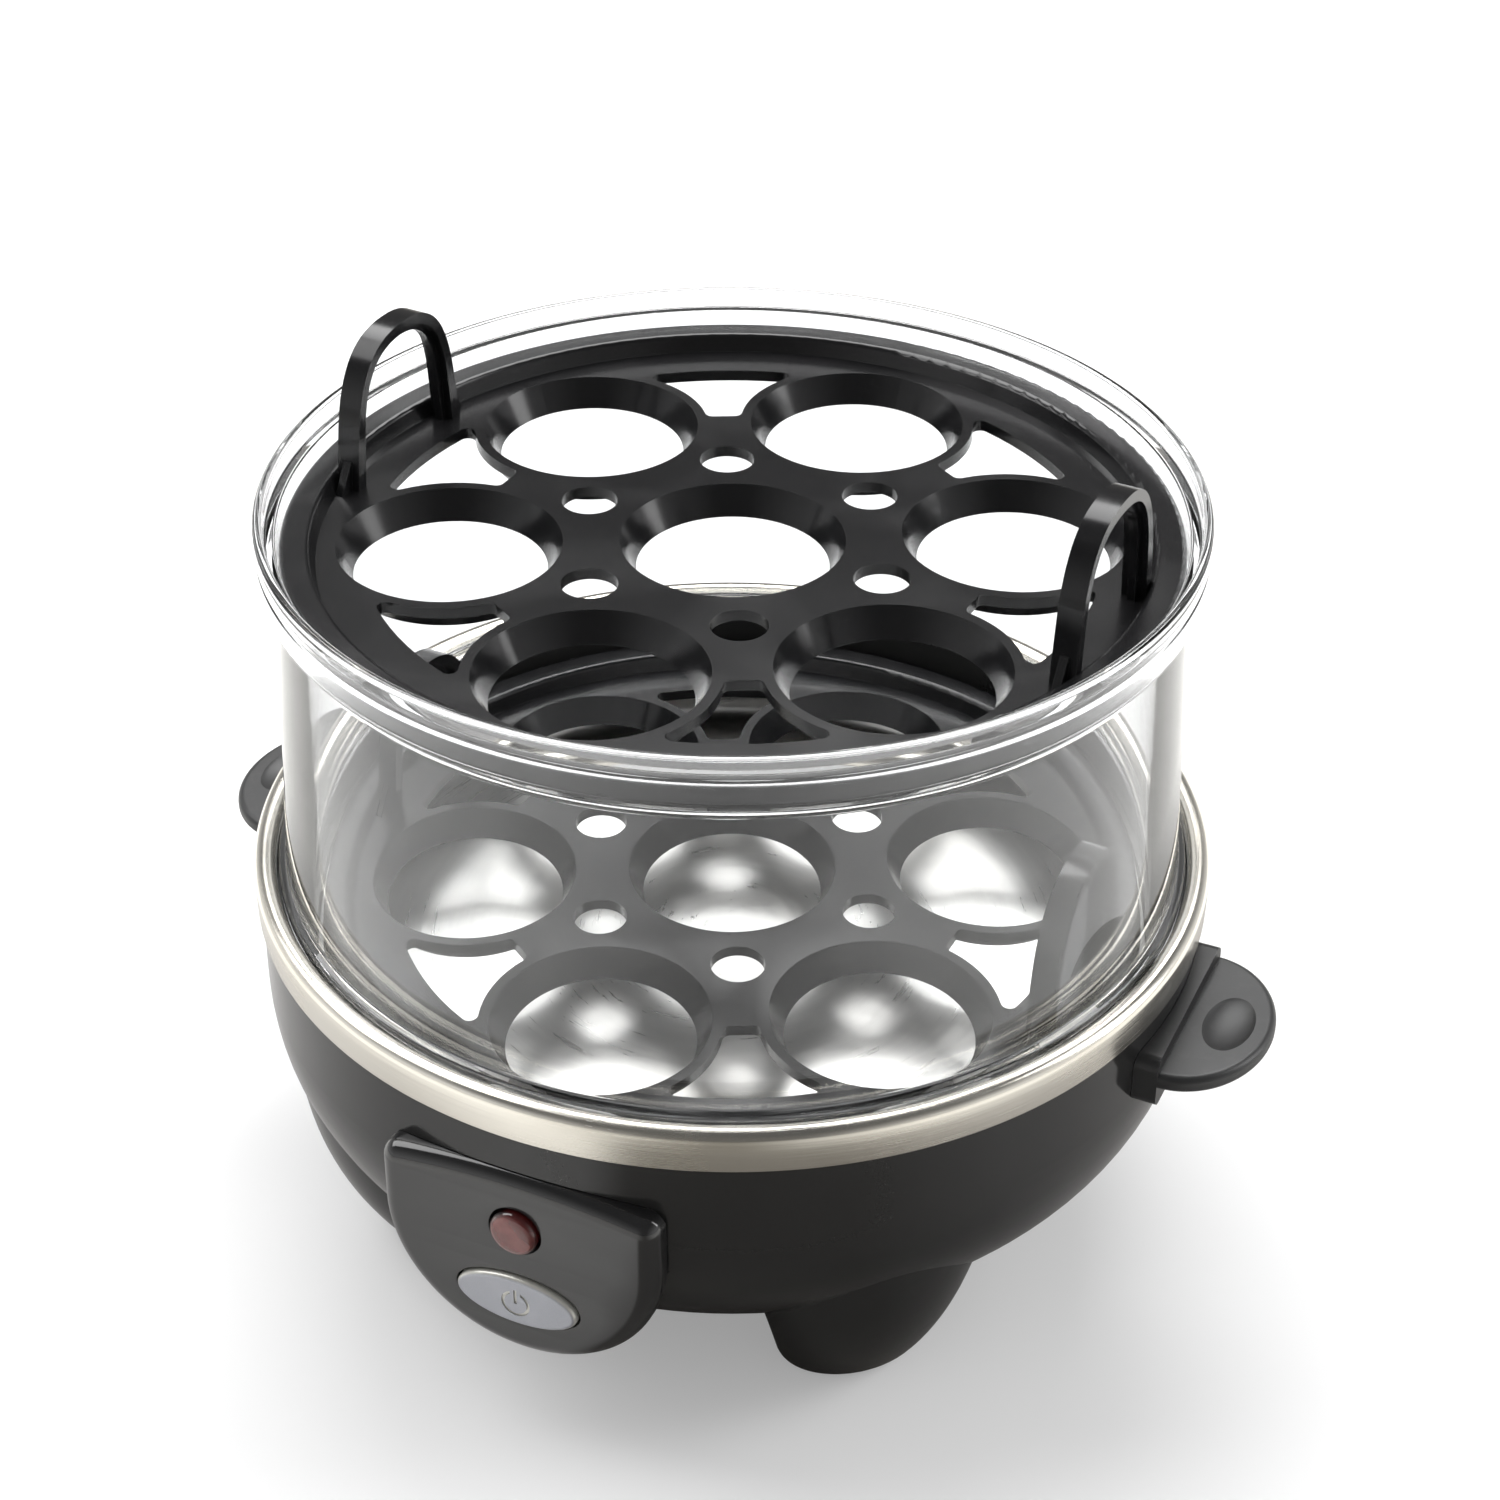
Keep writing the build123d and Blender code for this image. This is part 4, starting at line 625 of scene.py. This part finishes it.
def turned_tree():
    """Rounds a drawn half section at its corners and turns it once round the upright axis.

    A small circle carries the section, which is moved in by that circle's radius, the hub.
    """
    hub, weld = 0.01, 0.000002
    tree, given, made = shape_tree(
        "turned_section", [("Segments", "NodeSocketInt", 160), ("Corner Steps", "NodeSocketInt", 5)]
    )
    outline = node(tree, "GeometryNodeMeshToCurve")
    link(tree, given["Geometry"], outline.inputs["Mesh"])
    corner = node(tree, "GeometryNodeInputNamedAttribute", data_type="FLOAT")
    corner.inputs["Name"].default_value = "corner"
    rounded = node(tree, "GeometryNodeFilletCurve", mode="POLY")
    link(tree, outline.outputs["Curve"], rounded.inputs["Curve"])
    link(tree, given["Corner Steps"], rounded.inputs["Count"])
    link(tree, corner.outputs["Attribute"], rounded.inputs["Radius"])
    rounded.inputs["Limit Radius"].default_value = True
    laid = node(tree, "GeometryNodeTransform")
    link(tree, rounded.outputs["Curve"], laid.inputs["Geometry"])
    laid.inputs["Translation"].default_value = (-hub, 0.0, 0.0)
    laid.inputs["Rotation"].default_value = (math.pi / 2, 0.0, 0.0)
    ring = node(tree, "GeometryNodeCurvePrimitiveCircle", mode="RADIUS")
    ring.inputs["Radius"].default_value = hub
    link(tree, given["Segments"], ring.inputs["Resolution"])
    upright = node(tree, "GeometryNodeSetCurveNormal", mode="Z_UP")
    link(tree, ring.outputs["Curve"], upright.inputs["Curve"])
    turned = node(tree, "GeometryNodeCurveToMesh")
    link(tree, upright.outputs["Curve"], turned.inputs["Curve"])
    link(tree, laid.outputs["Geometry"], turned.inputs["Profile Curve"])
    joined = node(tree, "GeometryNodeMergeByDistance")
    joined.inputs["Distance"].default_value = weld
    link(tree, turned.outputs["Mesh"], joined.inputs["Geometry"])
    set_finish(tree, given, made, joined.outputs["Geometry"])
    return tree


def spread_tree():
    """Sets copies of a piece evenly on a circle, turned to face outwards."""
    tree, given, made = shape_tree(
        "spread_round",
        [
            ("Count", "NodeSocketInt", 4),
            ("Ring Radius", "NodeSocketFloat", 0.05),
            ("First Angle", "NodeSocketFloat", 0.0),
        ],
    )
    ring = node(tree, "GeometryNodeMeshCircle", fill_type="NONE")
    link(tree, given["Count"], ring.inputs["Vertices"])
    link(tree, given["Ring Radius"], ring.inputs["Radius"])
    angle = node(tree, "ShaderNodeCombineXYZ")
    link(tree, given["First Angle"], angle.inputs["Z"])
    started = node(tree, "GeometryNodeTransform")
    link(tree, ring.outputs["Mesh"], started.inputs["Geometry"])
    link(tree, angle.outputs[0], started.inputs["Rotation"])
    spot = node(tree, "GeometryNodeInputPosition")
    facing = node(tree, "FunctionNodeAlignRotationToVector", axis="X", pivot_axis="Z")
    link(tree, spot.outputs["Position"], facing.inputs["Vector"])
    copies = node(tree, "GeometryNodeInstanceOnPoints")
    link(tree, started.outputs["Geometry"], copies.inputs["Points"])
    link(tree, given["Geometry"], copies.inputs["Instance"])
    link(tree, facing.outputs["Rotation"], copies.inputs["Rotation"])
    real = node(tree, "GeometryNodeRealizeInstances")
    link(tree, copies.outputs["Instances"], real.inputs["Geometry"])
    set_finish(tree, given, made, real.outputs["Geometry"])
    return tree


TURNED = turned_tree()
SPREAD = spread_tree()


def add_tree(piece, tree, values):
    """Puts a shape tree on a piece, with its named inputs set."""
    step = piece.modifiers.new(tree.name, "NODES")
    step.node_group = tree
    for socket in tree.interface.items_tree:
        if socket.in_out == "INPUT" and socket.name in values:
            step[socket.identifier] = values[socket.name]


# ---------------------------------------------------------------- pieces
def add_piece(name, drawn):
    piece = bpy.data.objects.new(name, drawn)
    scene.collection.objects.link(piece)
    return piece


def half_section(name, corners):
    """A closed half section as a mesh of edges: (radius, height, corner radius) in millimetres."""
    drawn = bpy.data.meshes.new(name)
    points = [(radius / 1000, 0.0, level / 1000) for radius, level, _ in corners]
    sides = [(place, (place + 1) % len(points)) for place in range(len(points))]
    drawn.from_pydata(points, sides, [])
    mark = drawn.attributes.new("corner", "FLOAT", "POINT")
    for place, (_, _, corner) in enumerate(corners):
        mark.data[place].value = corner / 1000
    return add_piece(name, drawn)


def bake(piece, body, nodes, crease=40.0):
    """Turns the piece's trees into a plain mesh, joins it to its body and hides what it stands for."""
    weld = 0.000001
    seen = bpy.context.evaluated_depsgraph_get()
    seen.update()
    solid = bpy.data.meshes.new_from_object(piece.evaluated_get(seen))
    piece.modifiers.clear()
    shell = bmesh.new()
    shell.from_mesh(solid)
    bmesh.ops.remove_doubles(shell, verts=shell.verts, dist=weld)
    bmesh.ops.recalc_face_normals(shell, faces=shell.faces)
    shell.to_mesh(solid)
    shell.free()
    solid.polygons.foreach_set("use_smooth", [True] * len(solid.polygons))
    solid.set_sharp_from_angle(angle=math.radians(crease))
    solid.name = piece.name
    piece.data = solid
    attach(piece, body)
    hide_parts(*nodes)


def arc_points(centre, radii, first, last, steps):
    """Points of a flat arc or a part of an oval, its angles in degrees."""
    turns = [math.radians(first + (last - first) * step / steps) for step in range(steps + 1)]
    return [(centre[0] + radii[0] * math.cos(turn), centre[1] + radii[1] * math.sin(turn)) for turn in turns]


def section_arc(centre, radius, first, last, steps):
    """An arc in a half section, with no further rounding."""
    return [(*point, 0.0) for point in arc_points(centre, (radius, radius), first, last, steps)]


def ring_groove(radius, middle, mouth, floor, depth, edge, floor_edge):
    """A groove run round a wall: half its mouth and floor, its depth, and how its edges are rounded."""
    return [
        (radius, middle - mouth, edge),
        (radius - depth, middle - floor, floor_edge),
        (radius - depth, middle + floor, floor_edge),
        (radius, middle + mouth, edge),
    ]


def clear_tier_wall():
    """Clear wall with a beaded foot ring, a drafted side and a beaded lip round the lid seat."""
    (_, _, foot_level), (foot_radius, _, top_level) = box_in_mm("clear_tier")
    foot_wall, foot_height, side_wall = 2.8, 3.2, 2.1
    side_inset, side_ease, draft = 1.4, 0.8, 2.45
    lip_inset, lip_height, lip_wall = 0.9, 8.3, 1.7
    flare_drop, lip_groove_drop = 3.1, 4.05
    lid_seat_width, lid_seat_depth = 1.75, 3.4
    tray_seat_width, tray_seat_depth = 1.65, 9.6
    foot_top = foot_level + foot_height
    side_radius = foot_radius - side_inset
    lip_radius, lip_level = foot_radius - lip_inset, top_level - lip_height
    lid_bore, lid_seat = lip_radius - lip_wall, top_level - lid_seat_depth
    tray_bore, tray_seat = lid_bore - lid_seat_width, top_level - tray_seat_depth
    foot_groove, lip_groove = foot_level + foot_height / 2, top_level - lip_groove_drop
    section = [
        (foot_radius - foot_wall, foot_level, 0.3),
        (foot_radius, foot_level, 0.5),
        *ring_groove(foot_radius, foot_groove, mouth=0.4, floor=0.15, depth=0.4, edge=0.3, floor_edge=0.2),
        (foot_radius, foot_top, 0.8),
        (side_radius, foot_top + side_ease, 0.7),
        (side_radius - draft, lip_level - flare_drop, 2.5),
        (lip_radius, lip_level, 1.0),
        *ring_groove(lip_radius, lip_groove, mouth=0.55, floor=0.2, depth=0.45, edge=0.6, floor_edge=0.25),
        (lip_radius, top_level, 0.8),
        (lid_bore, top_level, 0.6),
        (lid_bore, lid_seat, 0.4),
        (tray_bore, lid_seat, 0.5),
        (tray_bore, tray_seat, 0.4),
        (tray_bore - tray_seat_width, tray_seat, 0.7),
        (side_radius - side_wall, foot_top, 0.8),
    ]
    piece = half_section("clear_tier_wall", section)
    add_tree(piece, TURNED, {"Segments": 192, "Corner Steps": 6, "Finish": FINISHES["clear_plastic"]})
    bake(piece, "tier", ["clear_tier"])


def rolled_rim_band():
    """Steel band: a brushed leg that runs into a rolled bead over the rim."""
    (_, _, leg_level), (band_radius, _, _) = box_in_mm("steel_trim_band")
    sheet, bead_radius = 0.7, 1.9
    leg_lean, leg_height, tail_drop, bead_rise = 0.1, 4.4, 1.0, 5.6
    bead = (band_radius - bead_radius, leg_level + bead_rise)
    tail_radius, tail_level = bead[0] - bead_radius, bead[1] - tail_drop
    section = [
        (band_radius - sheet, leg_level, 0.1),
        (band_radius - leg_lean, leg_level, 0.25),
        (band_radius, leg_level + leg_height, 0.4),
        *section_arc(bead, bead_radius, 0, 180, steps=24),
        (tail_radius, tail_level, 0.1),
        (tail_radius + sheet, tail_level, 0.1),
        *section_arc(bead, bead_radius - sheet, 180, 0, steps=12),
    ]
    piece = half_section("rolled_rim_band", section)
    add_tree(piece, TURNED, {"Segments": 224, "Corner Steps": 4, "Finish": FINISHES["trim_steel"]})
    bake(piece, "base", ["steel_trim_band"])


def ring_of_points(shell, outline, depth):
    return [shell.verts.new((across / 1000, depth / 1000, level / 1000)) for across, level in outline]


def join_rings(shell, first, second):
    for place in range(len(first)):
        after = (place + 1) % len(first)
        shell.faces.new((first[place], first[after], second[after], second[place]))


def fill_face(shell, outer, *holes):
    """Fills the space between an outer ring and the rings of its holes."""
    loops = (outer, *holes)
    corners = [corner for loop in loops for corner in loop]
    for three in tessellate_polygon([[Vector((c.co.x, c.co.z, 0.0)) for c in loop] for loop in loops]):
        shell.faces.new([corners[place] for place in three])


def quarter_round(radius, steps):
    """Steps of a quarter round: how far each lies from the side and below the face."""
    turns = [math.radians(90 * step / steps) for step in range(steps + 1)]
    return [(radius * (1 - math.cos(turn)), radius * (1 - math.sin(turn))) for turn in turns]


def panel_outline(half, low_level):
    """The panel from the front: two corners, a slightly arched top and half an oval."""
    side_level, corner, crown_radius, crown_level = 44.5, 3.2, 138.6, -80.8
    corner_x = half - corner
    corner_level = crown_level + math.sqrt((crown_radius - corner) ** 2 - corner_x**2)
    lean = math.degrees(math.atan2(corner_level - crown_level, corner_x))
    outline = arc_points((corner_x, corner_level), (corner, corner), 0, lean, steps=10)
    outline += arc_points((0.0, crown_level), (crown_radius, crown_radius), lean, 180 - lean, steps=40)[1:]
    outline += arc_points((-corner_x, corner_level), (corner, corner), 180 - lean, 180, steps=10)[1:]
    outline += arc_points((0.0, side_level), (half, side_level - low_level), 180, 360, steps=64)
    return outline


def inward_of(outline):
    """For each point of an outline, the direction that points into it."""
    inward = []
    for place in range(len(outline)):
        before, after = outline[place - 1], outline[(place + 1) % len(outline)]
        run = Vector((after[0] - before[0], after[1] - before[1])).normalized()
        inward.append((-run.y, run.x))
    return inward


def rolled_panel():
    """Control panel: a half oval with a slightly arched top, a full rolled edge and two eased holes."""
    (_, _, low_level), (half, _, _) = box_in_mm("control_panel")
    back, roll, ease = -79.25, 3.1, 0.35
    holes = ((LENS_LEVEL, 4.5, 4.5), (BUTTON_LEVEL, 11.1, 5.2))
    outline = panel_outline(half, low_level)
    inward = inward_of(outline)
    shell = bmesh.new()
    rings = [ring_of_points(shell, outline, back)]
    for inset, drop in quarter_round(roll, steps=10):
        moved = [(p[0] + inset * n[0], p[1] + inset * n[1]) for p, n in zip(outline, inward)]
        rings.append(ring_of_points(shell, moved, PANEL_FACE + drop))
    for first, second in zip(rings, rings[1:]):
        join_rings(shell, first, second)
    front_holes, back_holes = [], []
    for level, wide, high in holes:
        inner = []
        for drop, grown in quarter_round(ease, steps=4):
            hole = arc_points((0.0, level), (wide + grown, high + grown), 0, 360, steps=72)[:-1]
            inner.append(ring_of_points(shell, hole, PANEL_FACE + drop))
        hole = arc_points((0.0, level), (wide, high), 0, 360, steps=72)[:-1]
        inner.append(ring_of_points(shell, hole, back))
        for first, second in zip(inner, inner[1:]):
            join_rings(shell, second, first)
        front_holes.append(inner[0])
        back_holes.append(inner[-1])
    fill_face(shell, rings[-1], *front_holes)
    fill_face(shell, rings[0], *back_holes)
    drawn = bpy.data.meshes.new("rolled_panel")
    shell.to_mesh(drawn)
    shell.free()
    piece = add_piece("rolled_panel", drawn)
    piece.data.materials.append(FINISHES["gloss_black"])
    bake(piece, "base", ["control_panel"], crease=50.0)


def grooved_foot_pads():
    """Four rubber pads with a hollow middle and a grip groove in their undersides."""
    _, (reach, _, pad_height) = box_in_mm("foot_pads")
    pad_radius, rim_ease = 5.2, 0.6
    pad_ring = round((reach - pad_radius) * math.sqrt(2), 1)
    groove, lean, edge = 0.3, 0.3, 0.1
    rib_in, rib_out, rim_in, rim_out = 1.4, 2.3, 3.5, 4.9
    section = [
        (0.0, groove, 0.0),
        (rib_in - lean, groove, edge),
        (rib_in, 0.0, edge),
        (rib_out, 0.0, edge),
        (rib_out + lean, groove, edge),
        (rim_in - lean, groove, edge),
        (rim_in, 0.0, edge),
        (rim_out, 0.0, 0.5),
        (pad_radius, rim_ease, 0.4),
        (pad_radius, pad_height, 0.2),
        (0.0, pad_height, 0.0),
    ]
    piece = half_section("grooved_foot_pads", section)
    add_tree(piece, TURNED, {"Segments": 64, "Corner Steps": 3, "Finish": FINISHES["pad_rubber"]})
    placed = {"Count": 4, "Ring Radius": pad_ring / 1000, "First Angle": math.radians(45)}
    add_tree(piece, SPREAD, {**placed, "Finish": FINISHES["pad_rubber"]})
    bake(piece, "base", ["foot_pads"])


clear_tier_wall()
rolled_rim_band()
rolled_panel()
grooved_foot_pads()


# ---------------------------------------------------------------- floor, light, camera
CAMERA_TURN = math.radians(24.2)
CAMERA_RIGHT = (math.cos(CAMERA_TURN), math.sin(CAMERA_TURN), 0.0)


def floor_finish():
    """Pale floor: it keeps the object's shadow and shows white to the camera and glass; gloss and metal see
    painted reflections on it instead, with a painted shadow near the object.
    """
    pale_shades = (0.66, 0.66, 0.66), (0.68, 0.68, 0.68)
    # Painted reflections, seen only by gloss and metal: pairs of shades, and the part of the turn over which
    # they change. Near the object they hold a painted shadow, darkest in front.
    painted_shadow_front_to_right, right_run = ((0.2, 0.19, 0.175), (0.42, 0.41, 0.4)), (0.35, 0.75)
    painted_left_to_far_left, far_left_run = ((0.86, 0.85, 0.83), (0.55, 0.54, 0.53)), (-0.6, -0.9)
    left_run = (-0.3, -0.42)
    painted_middle_to_side, side_run = ((0.2, 0.19, 0.17), (0.9, 0.89, 0.86)), (0.06, 0.6)
    middle_shift, painted_shadow_ring = 0.02, (0.15, 0.18)
    # The glow that makes the floor white to the camera: where it rises, and from what to what.
    glow_ring, glow_levels = (0.4, 1.5), (0.28, 0.8)
    made, tree, at, shader, _ = new_finish("pale_floor")
    pale = mix_colour(tree, over_noise(tree, noise(tree, at, 9.0, detail=2.0)), *pale_shades)
    rightward = vector_node(tree, "DOT_PRODUCT", vector_node(tree, "NORMALIZE", at), CAMERA_RIGHT)
    from_axis = vector_node(tree, "LENGTH", at)
    # Near the object: painted shadow in front, painted reflection lighter to the right and bright to the
    # left.
    near_painted_shade_and_reflection = mix_colour(tree, remap(tree, rightward, *right_run), *painted_shadow_front_to_right)
    left_painted_reflection = mix_colour(tree, remap(tree, rightward, *far_left_run), *painted_left_to_far_left)
    near_painted_shade_and_reflection = mix_colour(tree, remap(tree, rightward, *left_run), near_painted_shade_and_reflection, left_painted_reflection)
    off_middle = math_node(tree, "ABSOLUTE", plus(tree, rightward, middle_shift))
    # Farther out: painted reflection, dark in the middle and bright at the sides.
    away_painted_reflection = mix_colour(tree, remap(tree, off_middle, *side_run), *painted_middle_to_side)
    # Only mirror rays see this: the painted shadow inside the near ring, painted reflection beyond it.
    mirrored = mix_colour(tree, remap(tree, from_axis, *painted_shadow_ring), near_painted_shade_and_reflection, away_painted_reflection)
    rays = node(tree, "ShaderNodeLightPath").outputs
    unbent = math_node(tree, "SUBTRACT", 1.0, rays["Is Transmission Ray"])
    glossy = times(tree, rays["Is Glossy Ray"], unbent)
    link(tree, mix_colour(tree, glossy, pale, mirrored), shader.inputs["Base Color"])
    shader.inputs["Roughness"].default_value = 0.9
    shader.inputs["Specular IOR Level"].default_value = 0.1
    seen = math_node(tree, "MAXIMUM", rays["Is Camera Ray"], rays["Is Transmission Ray"])
    glow = times(tree, seen, remap(tree, from_axis, *glow_ring, *glow_levels))
    feed(tree, WHITE, shader.inputs["Emission Color"])
    link(tree, glow, shader.inputs["Emission Strength"])
    return made


def lay_floor():
    reach, drop = 6.0, 0.0002
    corners = ((-reach, -reach), (reach, -reach), (reach, reach), (-reach, reach))
    drawn = bpy.data.meshes.new("floor")
    drawn.from_pydata([(across, along, -drop) for across, along in corners], [], [(0, 1, 2, 3)])
    drawn.materials.append(floor_finish())
    floor = add_piece("floor", drawn)


def soft_box(name, place, size, power):
    """A rectangular lamp turned towards the middle of the object."""
    middle = Vector((0.0, 0.0, 0.08))
    data = bpy.data.lights.new(name, "AREA")
    data.shape = "RECTANGLE"
    data.size, data.size_y = size
    data.energy = power
    lamp = add_piece(name, data)
    lamp.location = place
    lamp.rotation_euler = (middle - Vector(place)).to_track_quat("-Z", "Y").to_euler()


def background(tree, colour):
    made = node(tree, "ShaderNodeBackground")
    feed(tree, colour, made.inputs["Color"])
    return made.outputs[0]


def mix_backgrounds(tree, share, first, second):
    made = node(tree, "ShaderNodeMixShader")
    for source, target in zip((share, first, second), made.inputs):
        link(tree, source, target)
    return made.outputs[0]


def studio_world():
    """White to the camera and through glass, a plain fill for light, and a room in mirror rays."""
    fill, ceiling = (0.5, 0.5, 0.5), (0.12, 0.12, 0.12)
    dark_wall, bright_wall = (0.16, 0.155, 0.15), (0.95, 0.95, 0.95)
    wall_run, ceiling_run = (0.25, 0.85), (0.1, 0.7)
    world = bpy.data.worlds.new("studio")
    world.use_nodes = True
    scene.world = world
    tree = world.node_tree
    tree.nodes.clear()
    out = node(tree, "ShaderNodeOutputWorld")
    rays = node(tree, "ShaderNodeLightPath").outputs
    direction = node(tree, "ShaderNodeTexCoord").outputs["Generated"]
    height = axes_of(tree, direction)["Z"]
    sideways = math_node(tree, "ABSOLUTE", vector_node(tree, "DOT_PRODUCT", direction, CAMERA_RIGHT))
    walls = mix_colour(tree, remap(tree, sideways, *wall_run), dark_wall, bright_wall)
    room = background(tree, mix_colour(tree, remap(tree, height, *ceiling_run), walls, ceiling))
    mirrored = mix_backgrounds(tree, rays["Is Glossy Ray"], background(tree, fill), room)
    seen = math_node(tree, "MAXIMUM", rays["Is Camera Ray"], rays["Is Transmission Ray"])
    link(tree, mix_backgrounds(tree, seen, mirrored, background(tree, WHITE)), out.inputs["Surface"])


def place_camera():
    """Looks at the object from its front, turned to its right and lifted, with a slight tilt."""
    data = bpy.data.cameras.new("camera")
    data.sensor_width = 36.0
    data.lens = 72.93
    data.shift_x, data.shift_y = 0.01178, -0.01209
    aim, distance = Vector((0.0, 0.0, 0.0911)), 0.5207
    lift, tilt = math.radians(33.67), math.radians(0.169)
    right = Vector(CAMERA_RIGHT)
    back = Vector(
        (math.sin(CAMERA_TURN) * math.cos(lift), -math.cos(CAMERA_TURN) * math.cos(lift), math.sin(lift))
    )
    side = right * math.cos(tilt) + back.cross(right) * math.sin(tilt)
    pose = Matrix((side, back.cross(side), back)).transposed().to_4x4()
    pose.translation = aim + back * distance
    camera = add_piece("camera", data)
    camera.matrix_world = pose
    scene.camera = camera


lay_floor()
soft_box("key_box", (-0.85, -0.1, 1.05), size=(0.7, 0.9), power=9.0)
soft_box("side_box", (1.05, 0.55, 0.75), size=(0.45, 0.9), power=7.0)
soft_box("back_box", (-0.3, 0.75, 1.2), size=(1.2, 0.7), power=19.0)
studio_world()
place_camera()

scene.view_settings.view_transform = "Standard"
